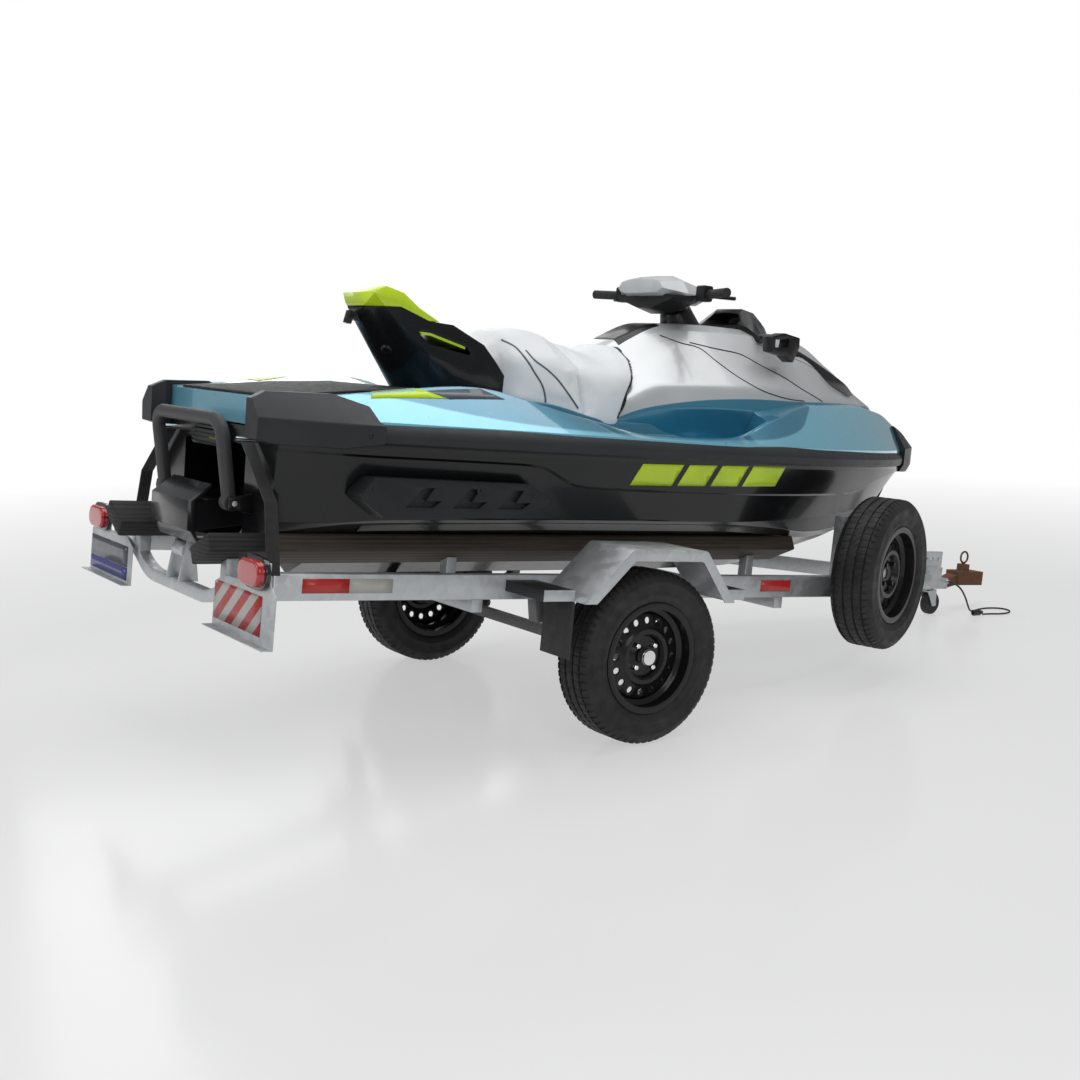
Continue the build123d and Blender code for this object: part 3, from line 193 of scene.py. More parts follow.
def plainFinish(name, color, rough, metal, lacquer, grain, depth, gloss):
    tree, shader = startMaterial(name)
    where = objectPlace(tree)
    patches = spread(tree, noiseAt(tree, where, 5.0, 5.0), 0, 1)
    wire(tree, shader, {
        "Base Color": mixColors(tree, patches, shades(color, -0.12), shades(color, 0.12)),
        "Roughness": spread(tree, noiseAt(tree, where, 31.0, 6.0, 0.65), rough * 0.86, rough * 1.2),
        "Normal": bumpOf(tree, noiseAt(tree, where, grain, 2.0), depth, 0.001),
        "Metallic": metal, "Specular IOR Level": gloss, "Coat Weight": lacquer, "Coat Roughness": 0.08})


def deckPaint():
    look = {"deep": deepTeal, "light": (0.205, 0.545, 0.695)}
    # height of the edge between the light wave and the deep colour, along the craft
    wave = ((-1.10, 0.775), (-0.90, 0.772), (-0.66, 0.742), (-0.45, 0.722), (-0.10, 0.710), (0.45, 0.711),
            (0.72, 0.735), (0.92, 0.83), (1.05, 0.95), (1.90, 1.05))
    tree, shader = startMaterial("deck_teal")
    where = objectPlace(tree, craftFrame)
    base = mixColors(tree, belowCurve(tree, where, wave), look["deep"], look["light"])
    wire(tree, shader, {
        "Base Color": flaked(tree, where, base, 0.10),
        "Roughness": spread(tree, noiseAt(tree, where, 24, 4), 0.27, 0.345),
        "Normal": bumpOf(tree, noiseAt(tree, where, 900, 1.0), 0.012, 0.001),
        "Metallic": 0.45, "Coat Weight": 1.0, "Coat Roughness": 0.04})


def silverPaint(name, footColor=None):
    look = {"upper": (0.66, 0.68, 0.69), "lower": (0.54, 0.555, 0.56)}
    # height where the silver ends above the deck, along the craft
    foot = ((0.05, 0.700), (0.16, 0.772), (0.337, 0.820), (0.60, 0.854), (0.936, 0.864), (1.184, 0.871),
            (1.80, 0.872))
    tree, shader = startMaterial(name)
    where = objectPlace(tree, craftFrame)
    patches = spread(tree, noiseAt(tree, where, 3.0, 2.0), 0.25, 0.75)
    base = mixColors(tree, patches, look["lower"], look["upper"])
    if footColor:
        base = mixColors(tree, belowCurve(tree, where, foot, 0.0015), base, footColor)
    wire(tree, shader, {
        "Base Color": flaked(tree, where, base, 0.06),
        "Roughness": spread(tree, noiseAt(tree, where, 20, 4), 0.30, 0.38),
        "Normal": bumpOf(tree, noiseAt(tree, where, 900, 1.0), 0.015, 0.001),
        "Metallic": 0.35, "Coat Weight": 0.8, "Coat Roughness": 0.06})


def seatVinyl():
    look = {"color": (0.86, 0.875, 0.885), "shade": (0.80, 0.82, 0.835), "pores": 260, "weave": 900}
    tree, shader = startMaterial("seat_vinyl")
    where = objectPlace(tree)
    pores = cellsAt(tree, where, look["pores"], feature="DISTANCE_TO_EDGE")["Distance"]
    below = bumpOf(tree, spread(tree, pores, 0, 1, 0.0, 0.16), 0.20, 0.0006)
    patches = spread(tree, noiseAt(tree, where, 6.0, 5.0), 0, 1)
    wire(tree, shader, {
        "Base Color": mixColors(tree, patches, look["shade"], look["color"]),
        "Roughness": spread(tree, noiseAt(tree, where, 40, 4), 0.42, 0.56),
        "Normal": bumpOf(tree, noiseAt(tree, where, look["weave"], 2.0), 0.10, 0.0004, below),
        "Sheen Weight": 0.15})


def galvanised(name, darkEnds=None):
    look = {"pale": (0.66, 0.68, 0.69), "dull": (0.44, 0.46, 0.475), "spangle": 42, "streak": 9,
            "dark": (0.035, 0.036, 0.038)}
    tree, shader = startMaterial(name)
    where = objectPlace(tree, trailerFrame)
    wobble = addNode(tree, "ShaderNodeTexNoise", {"Vector": where, "Scale": 30.0, "Detail": 2.0}).outputs["Color"]
    small = addNode(tree, "ShaderNodeVectorMath", {0: wobble, "Scale": 0.02}, operation="SCALE").outputs["Vector"]
    warped = addNode(tree, "ShaderNodeVectorMath", {0: where, 1: small}, operation="ADD").outputs["Vector"]
    crystals = cellsAt(tree, warped, look["spangle"])["Color"]
    tone = addNode(tree, "ShaderNodeSeparateColor", {"Color": crystals}).outputs[0]
    stain = spread(tree, noiseAt(tree, where, look["streak"], 6.0, 0.6), 0, 1, 0.35, 0.65)
    share = combine(tree, "MULTIPLY", spread(tree, tone, 0.45, 1.0, 0, 1), spread(tree, stain, 0.55, 1.0, 0, 1))
    base = mixColors(tree, share, look["dull"], look["pale"])
    if darkEnds:  # rear and front end, half width of the dark faces
        axes = axesOf(tree, where)
        ends = combine(tree, "MAXIMUM", combine(tree, "LESS_THAN", axes["X"], darkEnds[0]),
                       combine(tree, "GREATER_THAN", axes["X"], darkEnds[1]))
        inside = combine(tree, "LESS_THAN", combine(tree, "ABSOLUTE", axes["Y"]), darkEnds[2])
        base = mixColors(tree, combine(tree, "MULTIPLY", ends, inside), base, look["dark"])
    wire(tree, shader, {
        "Base Color": base, "Metallic": 0.55,
        "Roughness": spread(tree, tone, 0.34, 0.52, 0, 1),
        "Normal": bumpOf(tree, noiseAt(tree, where, 150, 4.0), 0.12, 0.0008)})


def tyreRubber():
    look = {"color": (0.010, 0.010, 0.011), "dust": (0.032, 0.031, 0.029), "grain": 260}
    tree, shader = startMaterial("tyre_rubber")
    where = objectPlace(tree)
    dusty = spread(tree, noiseAt(tree, where, 9.0, 7.0, 0.62), 0, 0.75, 0.42, 0.72)
    wire(tree, shader, {
        "Base Color": mixColors(tree, dusty, look["color"], look["dust"]),
        "Roughness": spread(tree, noiseAt(tree, where, 30, 4), 0.55, 0.78),
        "Normal": bumpOf(tree, noiseAt(tree, where, look["grain"], 4.0), 0.22, 0.0008)})


def bunkCover():
    # ribbed rubber on the rear ends, sawn timber further in
    look = {"rubber": (0.014, 0.014, 0.015), "pale": (0.085, 0.066, 0.048), "dark": (0.022, 0.019, 0.016),
            "rubberEnd": -1.19, "pitch": 0.012}
    tree, shader = startMaterial("bunk_pad")
    where = objectPlace(tree, craftFrame)
    inward = combine(tree, "GREATER_THAN", axesOf(tree, where)["X"], look["rubberEnd"])
    ribs = bandsAt(tree, where, look["pitch"], "Z")
    stretched = addNode(tree, "ShaderNodeMapping", {"Vector": where, "Scale": (1.2, 34, 34)}).outputs["Vector"]
    fibres = noiseAt(tree, stretched, 3.0, 8.0, 0.7)
    wood = mixColors(tree, spread(tree, fibres, 0, 1), look["dark"], look["pale"])
    # painted highlight on the tops of the rubber ribs and painted shade between them
    rubber = mixColors(tree, ribs, shades(look["rubber"], -0.5), shades(look["rubber"], 0.4))
    wire(tree, shader, {
        "Base Color": mixColors(tree, inward, rubber, wood),
        "Roughness": spread(tree, fibres, 0.6, 0.85),
        "Normal": bumpOf(tree, fibres, 0.3, 0.001, bumpOf(tree, ribs, 0.4, 0.003))})


def warningStripes():
    look = {"red": (0.50, 0.020, 0.018), "pale": (0.56, 0.55, 0.51), "pitch": 0.085, "lean": 0.9}
    tree, shader = startMaterial("warning_stripes")
    axes = axesOf(tree, objectPlace(tree, trailerFrame))
    slanted = combine(tree, "ADD", combine(tree, "MULTIPLY", axes["Y"], look["lean"]), axes["Z"])
    turns = combine(tree, "FRACT", combine(tree, "ADD", combine(tree, "DIVIDE", slanted, look["pitch"]), 40.0))
    where = objectPlace(tree)
    worn = spread(tree, noiseAt(tree, where, 60, 6.0, 0.7), 0, 0.35, 0.5, 0.75)
    base = mixColors(tree, combine(tree, "GREATER_THAN", turns, 0.5), look["red"], look["pale"])
    wire(tree, shader, {
        "Base Color": mixColors(tree, worn, base, shades(look["pale"], -0.3)),
        "Roughness": spread(tree, noiseAt(tree, where, 30, 4), 0.30, 0.42),
        "Normal": bumpOf(tree, noiseAt(tree, where, 500, 2.0), 0.10, 0.0008)})


def deckMat():
    look = {"color": (0.010, 0.010, 0.011), "pitch": 0.014}
    tree, shader = startMaterial("deck_mat")
    where = objectPlace(tree, craftFrame)
    ribs = bandsAt(tree, where, look["pitch"], "Y")
    below = bumpOf(tree, ribs, 0.5, look["pitch"] * 0.3)
    wire(tree, shader, {
        # painted highlight on the mat's ribs and painted shade between them
        "Base Color": mixColors(tree, ribs, shades(look["color"], -0.4), shades(look["color"], 0.25)),
        "Roughness": spread(tree, noiseAt(tree, where, 40, 4), 0.5, 0.7),
        "Normal": bumpOf(tree, noiseAt(tree, where, 400, 2.0), 0.2, 0.0006, below)})


def webbing():
    look = {"color": (0.014, 0.014, 0.015), "yarn": 0.003043}
    tree, shader = startMaterial("strap_webbing")
    where = objectPlace(tree)
    weave = combine(tree, "MULTIPLY", *[bandsAt(tree, where, look["yarn"], axis) for axis in "XZ"])
    wire(tree, shader, {
        # painted highlight where the yarns cross and painted shade between them
        "Base Color": mixColors(tree, weave, look["color"], shades(look["color"], 1.2)),
        "Roughness": spread(tree, noiseAt(tree, where, 60, 3), 0.7, 0.86),
        "Normal": bumpOf(tree, weave, 0.5, 0.0008),
        "Sheen Weight": 0.3})


def lampRed():
    look = {"color": (0.60, 0.012, 0.020), "rim": (0.012, 0.012, 0.013), "rib": 0.011887, "lensEnd": -1.3535}
    tree, shader = startMaterial("lamp_red")
    where = objectPlace(tree, trailerFrame)
    ribs = bandsAt(tree, where, look["rib"], "Y")
    # painted shade in the grooves between the lens ribs
    lens = mixColors(tree, ribs, shades(look["color"], -0.35), look["color"])
    surround = combine(tree, "GREATER_THAN", axesOf(tree, where)["X"], look["lensEnd"])
    wire(tree, shader, {
        "Base Color": mixColors(tree, surround, lens, look["rim"]),
        "Roughness": spread(tree, noiseAt(tree, where, 50, 3), 0.10, 0.18),
        "Normal": bumpOf(tree, ribs, 0.25, 0.001),
        "Coat Weight": 0.6})


def couplerRust():
    look = {"iron": (0.090, 0.062, 0.050), "rust": (0.235, 0.092, 0.036), "scale": 34}
    tree, shader = startMaterial("coupler_rust")
    flaky = noiseAt(tree, objectPlace(tree), look["scale"], 9.0, 0.7)
    wire(tree, shader, {
        "Base Color": mixColors(tree, spread(tree, flaky, 0, 1, 0.38, 0.62), look["iron"], look["rust"]),
        "Roughness": spread(tree, flaky, 0.55, 0.9),
        "Normal": bumpOf(tree, flaky, 0.6, 0.002),
        "Metallic": 0.35})


def gripRubber():
    look = {"color": (0.016, 0.016, 0.017), "cell": 150}
    tree, shader = startMaterial("grip_rubber")
    where = objectPlace(tree)
    cells = addNode(tree, "ShaderNodeTexVoronoi", {"Vector": where, "Scale": look["cell"], "Randomness": 0.2},
                    feature="DISTANCE_TO_EDGE").outputs["Distance"]
    pads = spread(tree, cells, 0, 1, 0.05, 0.2)
    wire(tree, shader, {
        # painted shade in the grooves between the grip pads and painted highlight on the pads
        "Base Color": mixColors(tree, pads, shades(look["color"], -0.5), shades(look["color"], 0.5)),
        "Roughness": spread(tree, noiseAt(tree, where, 60, 3), 0.55, 0.7),
        "Normal": bumpOf(tree, pads, 0.6, 0.001)})


def texturedTube():
    look = {"color": (0.034, 0.034, 0.036), "grain": 520}
    tree, shader = startMaterial("step_tube")
    grain = noiseAt(tree, objectPlace(tree), look["grain"], 3.0)
    wire(tree, shader, {
        "Base Color": mixColors(tree, spread(tree, grain, 0, 1), look["color"], shades(look["color"], 0.9)),
        "Roughness": spread(tree, grain, 0.42, 0.66),
        "Normal": bumpOf(tree, grain, 0.55, 0.0012)})


deepTeal = (0.040, 0.225, 0.345)
for slotName, values in plainFinishes.items():
    plainFinish(slotName, *values)
deckPaint()
silverPaint("body_silver")
silverPaint("console_silver", deepTeal)
seatVinyl()
galvanised("galvanised")
galvanised("fender_zinc", (-0.345, 0.285, 0.740))
for makeFinish in (tyreRubber, bunkCover, deckMat, warningStripes, webbing, lampRed, couplerRust, gripRubber,
                   texturedTube):
    makeFinish()
print("materials", len(paint))


# mesh helpers

def columnsAt(table, x):
    # smooth columns of a table along its first one, with no overshoot between rows
    rows = np.array(table, float)
    knots, values = rows[:, 0], rows[:, 1:]
    steps = np.diff(knots)[:, None]
    slopes = np.diff(values, axis=0) / steps
    tangents = np.zeros_like(values)
    tangents[0], tangents[-1] = slopes[0], slopes[-1]
    before, after = slopes[:-1], slopes[1:]
    same = before * after > 0
    weightA, weightB = 2 * steps[1:] + steps[:-1], steps[1:] + 2 * steps[:-1]
    total = weightA + weightB
    with np.errstate(divide="ignore", invalid="ignore"):
        harmonic = total / (weightA / before + weightB / after)
    tangents[1:-1] = np.where(same, harmonic, 0)
    index = int(np.clip(np.searchsorted(knots, x) - 1, 0, len(knots) - 2))
    width = knots[index + 1] - knots[index]
    t = np.clip((x - knots[index]) / width, 0, 1)
    h = ((1 + 2 * t) * (1 - t) ** 2, t * (1 - t) ** 2, t * t * (3 - 2 * t), t * t * (t - 1))
    return (h[0] * values[index] + h[1] * width * tangents[index] + h[2] * values[index + 1]
            + h[3] * width * tangents[index + 1])


def roundCorners(outline, cuts=4):
    # outline points are (y, z, radius); each corner becomes a short curve of cuts + 1 points
    points = []
    for index, (y, z, radius) in enumerate(outline):
        corner = np.array((y, z))
        if index in (0, len(outline) - 1) or radius <= 0:
            points.append(corner)
            continue
        before = np.array(outline[index - 1][:2]) - corner
        after = np.array(outline[index + 1][:2]) - corner
        lengths = [max(np.linalg.norm(before), 1e-9), max(np.linalg.norm(after), 1e-9)]
        cosine = np.clip(before @ after / lengths[0] / lengths[1], -0.999, 0.999)
        reach = min(radius / math.tan(math.acos(cosine) / 2), 0.45 * lengths[0], 0.45 * lengths[1])
        start, end = corner + before / lengths[0] * reach, corner + after / lengths[1] * reach
        for step in range(cuts + 1):
            t = step / cuts
            points.append(start * (1 - t) ** 2 + corner * 2 * t * (1 - t) + end * t * t)
    return points


def skinMesh(name, rings, around=True, closed=False):
    # quads between rings of points; a closed row joins up, an open one gets a face at each end
    count, faces = len(rings[0]), []
    vertices = [tuple(point) for ring in rings for point in ring]
    for index in range(len(rings) if closed else len(rings) - 1):
        here, there = index * count, (index + 1) % len(rings) * count
        for i in range(count if around else count - 1):
            following = (i + 1) % count
            faces.append((here + i, here + following, there + following, there + i))
    if not closed:
        faces += [tuple(range(count)), tuple(range(len(vertices) - count, len(vertices)))]
    mesh = bpy.data.meshes.new(name)
    mesh.from_pydata(vertices, [], faces)
    return mesh


def makePiece(name, rings, material, around=True, closed=False, place=craftFrame, **rest):
    mesh = skinMesh(name, rings, around, closed)
    mesh.validate()
    return finishPiece(name, mesh, material, place=place, **rest)


def finishPiece(name, mesh, material, body=root, place=None, slotName=None, sharp=38, replaced=()):
    if place is not None:
        mesh.transform(place)
    work = bmesh.new()
    work.from_mesh(mesh)
    bmesh.ops.remove_doubles(work, verts=work.verts, dist=1e-5)
    bmesh.ops.dissolve_degenerate(work, edges=work.edges, dist=1e-6)
    bmesh.ops.recalc_face_normals(work, faces=work.faces)
    bmesh.ops.triangulate(work, faces=[face for face in work.faces if len(face.verts) > 4])
    work.to_mesh(mesh)
    work.free()
    mesh.materials.clear()
    mesh.materials.append(paint[material])
    mesh.shade_smooth()
    mesh.set_sharp_from_angle(angle=math.radians(sharp))
    piece = bpy.data.objects.new(name, mesh)
    bpy.context.scene.collection.objects.link(piece)
    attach(piece, body)
    if replaced:
        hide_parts(*replaced)
    return piece


def applyModifiers(piece):
    graph = bpy.context.evaluated_depsgraph_get()
    piece.modifiers.update()
    made = bpy.data.meshes.new_from_object(piece.evaluated_get(graph))
    piece.modifiers.clear()
    piece.data = made


def resmooth(piece, sharp):
    piece.data.shade_smooth()
    piece.data.set_sharp_from_angle(angle=math.radians(sharp))


def softEdges(piece, width, angle=30):
    bevel = piece.modifiers.new("edges", "BEVEL")
    bevel.width = width
    bevel.segments = 2
    bevel.limit_method = "ANGLE"
    bevel.angle_limit = math.radians(angle)
    applyModifiers(piece)
    resmooth(piece, 42)


def loftAlong(name, stations, outlineAt, material, **rest):
    # closed skin through half outlines that run from the lower centre to the upper centre
    rings = []
    for x in stations:
        half = roundCorners(outlineAt(x))
        rings.append([(x, y, z) for y, z in half] + [(x, -y, z) for y, z in reversed(half) if y > 1e-6])
    return makePiece(name, rings, material, **rest)


def spanOf(first, last, step, extra=()):
    count = max(2, int(round((last - first) / step)) + 1)
    return sorted({round(x, 5) for x in np.linspace(first, last, count)} | set(extra))


def roundedNode(node, width, material=None):
    # a CAD piece with its real edge radii
    work = bmesh.new()
    work.from_mesh(frame["nodes"][node].data)
    bmesh.ops.remove_doubles(work, verts=work.verts, dist=2e-5)
    bmesh.ops.dissolve_limit(work, angle_limit=math.radians(0.6), verts=work.verts, edges=work.edges)
    mesh = bpy.data.meshes.new(node)
    work.to_mesh(mesh)
    work.free()
    slotName = nodeSlots[node]
    piece = finishPiece(camel(node), mesh, material or slotName, nodeBodies[node], None, slotName, 180, (node,))
    softEdges(piece, width, 28)
    return piece


def camel(node):
    words = node.split("_")
    return words[0] + "".join(word.capitalize() for word in words[1:])


nodeSlots = {part["node"]: part["material_slot"] for part in frame["record"]["subparts"]}
nodeBodies = {node: body for body, members in frame["record"]["behaviour"]["bodies"].items() for node in members}


def treeOf(*pieces):
    # the pieces' surface in the row frame, to lay films and seams on
    vertices, faces = [], []
    for piece in pieces:
        start = len(vertices)
        vertices += [piece.matrix_world @ v.co for v in piece.data.vertices]
        faces += [[start + i for i in face.vertices] for face in piece.data.polygons]
    return BVHTree.FromPolygons(vertices, faces)


casts = {"right": (0, 2, 1, -1.3), "left": (0, 2, 1, 1.3), "top": (0, 1, 2, 1.7), "rear": (1, 2, 0, -2.4)}


def castOn(surface, place, cast, first, second):
    # where a straight line of sight from one side meets a surface
    axisA, axisB, depth, start = casts[cast]
    at, inward = Vector(), Vector()
    at[axisA], at[axisB], at[depth], inward[depth] = first, second, start, -math.copysign(1, start)
    inward = place.to_3x3() @ inward
    hit, normal = surface.ray_cast(place @ at, inward)[:2]
    if hit is not None and normal.dot(inward) > 0:
        normal = -normal
    return hit, normal


def film(name, corners, cast, surface, material, slotName, place=craftFrame, lift=0.0008, cell=0.02):
    # a thin film laid on a surface, from its outline as seen from one side
    axisA, axisB = casts[cast][:2]
    work = bmesh.new()
    outline = []
    for first, second in corners:
        at = Vector()
        at[axisA], at[axisB] = first, second
        outline.append(work.verts.new(at))
    work.faces.new(outline)
    for axis in (axisA, axisB):
        values = [vertex.co[axis] for vertex in work.verts]
        for cut in np.arange(min(values) + cell, max(values), cell):
            at, normal = Vector(), Vector()
            at[axis], normal[axis] = cut, 1
            bmesh.ops.bisect_plane(work, geom=work.verts[:] + work.edges[:] + work.faces[:], plane_co=at,
                                   plane_no=normal)
    missed = []
    for vertex in work.verts:
        hit, normal = castOn(surface, place, cast, vertex.co[axisA], vertex.co[axisB])
        if hit is None:
            missed.append(vertex)
        else:
            vertex.co = hit + normal * lift
    bmesh.ops.delete(work, geom=missed, context="VERTS")
    mesh = bpy.data.meshes.new(name)
    work.to_mesh(mesh)
    work.free()
    piece = finishPiece(name, mesh, material, slotName=slotName)
    thick = piece.modifiers.new("thick", "SOLIDIFY")
    thick.thickness = lift * 0.9
    thick.offset = 0
    applyModifiers(piece)
    return piece


def smoothLine(points, steps=5):
    line = [Vector(p) for p in points]
    line = [line[0] * 2 - line[1]] + line + [line[-1] * 2 - line[-2]]
    made = []
    for a, b, c, d in zip(line, line[1:], line[2:], line[3:]):
        for step in range(steps):
            t = step / steps
            made.append(0.5 * (2 * b + (c - a) * t + (2 * a - 5 * b + 4 * c - d) * t * t
                               + (3 * b - a - 3 * c + d) * t ** 3))
    return made + [line[-2]]


def seamLine(name, points, width, *rest, **more):
    # a narrow strip that follows a line of points
    line = smoothLine(points)
    left, right = [], []
    for before, here, after in zip(line[:1] + line, line, line[1:] + line[-1:]):
        run = (after - before).normalized()
        across = Vector((-run.y, run.x)) * width / 2
        left.append(tuple(here + across))
        right.append(tuple(here - across))
    return film(name, left + right[::-1], *rest, **more)


def screwOn(name, first, second, cast, surface, radius, slotName):
    # a domed screw with a recess in its head, square to the craft's surface where it sits
    hit, normal = castOn(surface, craftFrame, cast, first, second)
    at = Matrix.Translation(hit) @ normal.to_track_quat("Y", "Z").to_matrix().to_4x4()
    shape = ((0, 0.10), (0.34, 0.10), (0.42, 0.30), (0.75, 0.24), (0.95, 0.10), (1, -0.05), (1, -0.3))
    head = [(max(r * radius, 0.0001), along * radius) for r, along in shape]
    return turnedPiece(name, head, "trim_black", root, at, 24, slotName=slotName, sharp=50)


def extruded(name, outline, low, high, material, slotName, bevel=0.0):
    # a solid between two widths, from its outline (x, z)
    rings = [[(x, y, z) for x, z in outline] for y in (low, high)]
    piece = makePiece(name, rings, material, slotName=slotName, sharp=30)
    if bevel:
        softEdges(piece, bevel)
    return piece


def tube(name, points, radius, material, place, kind="NURBS", order=4, rounds=3, steps=12):
    curve = bpy.data.curves.new(name, "CURVE")
    curve.dimensions = "3D"
    curve.bevel_depth = radius
    curve.bevel_resolution = rounds
    curve.resolution_u = steps
    curve.use_fill_caps = True
    spline = curve.splines.new(kind)
    spline.points.add(len(points) - 1)
    for target, point in zip(spline.points, points):
        target.co = (*(place @ Vector(point)), 1)
    spline.order_u = order
    spline.use_endpoint_u = True
    piece = bpy.data.objects.new(name, curve)
    bpy.context.scene.collection.objects.link(piece)
    curve.materials.append(paint[material])
    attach(piece, root)
    return piece


def turnedPiece(name, profile, material, body, place, steps=48, upright=False, **rest):
    # a lathe piece from (radius, along) points, turned about Y, or about Z when upright
    rings = []
    for step in range(steps):
        angle = 2 * math.pi * step / steps
        ring = [(radius * math.cos(angle), radius * math.sin(angle), along) for radius, along in profile]
        rings.append(ring if upright else [(x, along, z) for x, z, along in ring])
    return makePiece(name, rings, material, around=False, closed=True, body=body, place=place, **rest)


def cylinder(radius, low, high, edge):
    # lathe profile of a short pin with chamfered ends
    return [(0.0001, low), (radius * 0.8, low), (radius, low + edge), (radius, high - edge), (radius * 0.8, high),
            (0.0001, high)]


# camera and studio

def makeCamera():
    look = {"place": (-3.461, -4.024, 1.3905), "yaw": 54.29, "pitch": -9.47, "lens": 45.85, "sensor": 36.0}
    data = bpy.data.cameras.new("photoCamera")
    data.lens = look["lens"]
    data.sensor_width = look["sensor"]
    camera = bpy.data.objects.new("photoCamera", data)
    camera.location = look["place"]
    camera.rotation_euler = (math.radians(90 + look["pitch"]), 0, math.radians(look["yaw"] - 90))
    bpy.context.scene.collection.objects.link(camera)
    bpy.context.scene.camera = camera
    print("camera")


def makeStudio():
    look = {"floorRadius": 26.0, "pale": (0.72, 0.72, 0.715), "rough": 0.16, "fadeFrom": 2.6, "fadeTo": 7.0,
            "ambient": 0.30, "nearGlow": 0.50}
    floor = bpy.data.meshes.new("studioFloor")
    work = bmesh.new()
    bmesh.ops.create_circle(work, cap_ends=True, segments=96, radius=look["floorRadius"])
    work.to_mesh(floor)
    work.free()
    tree, shader = startMaterial("studio_floor")
    where = objectPlace(tree)
    patches = spread(tree, noiseAt(tree, where, 1.3, 5.0), 0, 1)
    wire(tree, shader, {
        "Base Color": mixColors(tree, patches, shades(look["pale"], -0.015), look["pale"]),
        "Roughness": spread(tree, noiseAt(tree, where, 2.2, 6.0), look["rough"], look["rough"] + 0.05),
        "Normal": bumpOf(tree, noiseAt(tree, where, 700, 2.0), 0.02, 0.001),
        "Coat Weight": 0.25, "Coat Roughness": 0.12})
    distance = addNode(tree, "ShaderNodeVectorMath", {0: where}, operation="LENGTH").outputs["Value"]
    far = spread(tree, distance, 0, 1, look["fadeFrom"], look["fadeTo"])
    far = spread(tree, far, look["nearGlow"], 1, 0, 1)
    white = addNode(tree, "ShaderNodeEmission", {"Color": (1, 1, 1, 1), "Strength": 1.0})
    rays = addNode(tree, "ShaderNodeLightPath").outputs
    seen = combine(tree, "MAXIMUM", rays["Is Camera Ray"], rays["Is Glossy Ray"])
    share = combine(tree, "MULTIPLY", far, seen)
    joined = addNode(tree, "ShaderNodeMixShader", {0: share, 1: shader.outputs["BSDF"], 2: white.outputs["Emission"]})
    wire(tree, tree.nodes["Material Output"], {"Surface": joined.outputs["Shader"]})
    floor.materials.append(paint["studio_floor"])
    piece = bpy.data.objects.new("studioFloor", floor)
    bpy.context.scene.collection.objects.link(piece)

    world = bpy.data.worlds.new("studioWorld")
    world.use_nodes = True
    tree = world.node_tree
    background = tree.nodes["Background"]
    wire(tree, background, {"Color": (0.96, 0.98, 1.0, 1), "Strength": look["ambient"]})
    shown = addNode(tree, "ShaderNodeBackground", {"Color": (1, 1, 1, 1), "Strength": 1.0})
    rays = addNode(tree, "ShaderNodeLightPath").outputs
    seen = combine(tree, "MAXIMUM", rays["Is Camera Ray"], rays["Is Transmission Ray"])
    joined = addNode(tree, "ShaderNodeMixShader", {0: seen, 1: background.outputs["Background"],
                                                   2: shown.outputs["Background"]})
    wire(tree, tree.nodes["World Output"], {"Surface": joined.outputs["Shader"]})
    bpy.context.scene.world = world

    # soft boxes: place, aim, width, depth, power
    boxes = {
        "overhead": ((0.0, 0.0, 5.2), (0.0, 0.0, 0.0), 6.0, 4.0, 150),
        "nearSide": ((-2.4, -5.2, 3.6), (0.0, 0.0, 0.6), 3.6, 2.4, 60),
        "farSide": ((1.0, 5.4, 3.4), (0.0, 0.0, 0.7), 4.0, 2.4, 60),
        "stern": ((-5.6, 1.2, 2.8), (-1.0, 0.0, 0.7), 2.6, 2.0, 40),
    }
    for name, (place, aim, width, depth, power) in boxes.items():
        light = bpy.data.lights.new(name, "AREA")
        light.shape = "RECTANGLE"
        light.size = width
        light.size_y = depth
        light.energy = power
        lamp = bpy.data.objects.new(name, light)
        lamp.location = place
        lamp.rotation_euler = (Vector(aim) - Vector(place)).to_track_quat("-Z", "Y").to_euler()
        bpy.context.scene.collection.objects.link(lamp)
    bpy.context.scene.view_settings.view_transform = "Standard"
    print("studio")


# lighting lead

def makeLead():
    cord = {"diameter": 0.008, "length": 0.669, "plugRadius": 0.014, "plugLength": 0.052, "plugLift": 0.0004}
    route = ((2.392, -0.040, 0.148), (2.393, -0.072, 0.146), (2.400, -0.104, 0.128), (2.413, -0.122, 0.088),
             (2.432, -0.124, 0.046), (2.462, -0.114, 0.014), (2.510, -0.098, 0.0044), (2.570, -0.086, 0.0044),
             (2.628, -0.098, 0.0044), (2.668, -0.138, 0.0044), (2.660, -0.190, 0.0044), (2.614, -0.220, 0.0044),
             (2.560, -0.212, 0.0044), (2.520, -0.178, 0.0044), (2.486, -0.166, 0.0044))
    lead = tube("lightingLead", route, cord["diameter"] / 2, "lead_rubber", floorFrame, order=3, rounds=4, steps=16)
    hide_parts("lead")
    end, before = Vector(route[-1]), Vector(route[-2])
    heading = math.atan2(end.y - before.y, end.x - before.x)
    place = (floorFrame @ Matrix.Translation((end.x, end.y, cord["plugRadius"] + cord["plugLift"]))
             @ Matrix.Rotation(heading, 4, "Z") @ Matrix.Rotation(math.radians(90), 4, "Y"))
    big, long = cord["plugRadius"], cord["plugLength"]
    profile = [(0.0001, 0), (0.006, 0), (0.008, 0.004), (0.009, 0.010), (big * 0.88, 0.013), (big, 0.016),
               (big, 0.024), (big * 0.92, 0.026), (big * 0.92, 0.030), (big, 0.032), (big, long - 0.002),
               (big - 0.002, long), (big - 0.004, long), (big - 0.005, long - 0.01), (0.0001, long - 0.01)]
    plug = turnedPiece("leadPlug", profile, "plug_plastic", root, place, 40, True, replaced=("lead_plug",))
    print("lead")


# hull

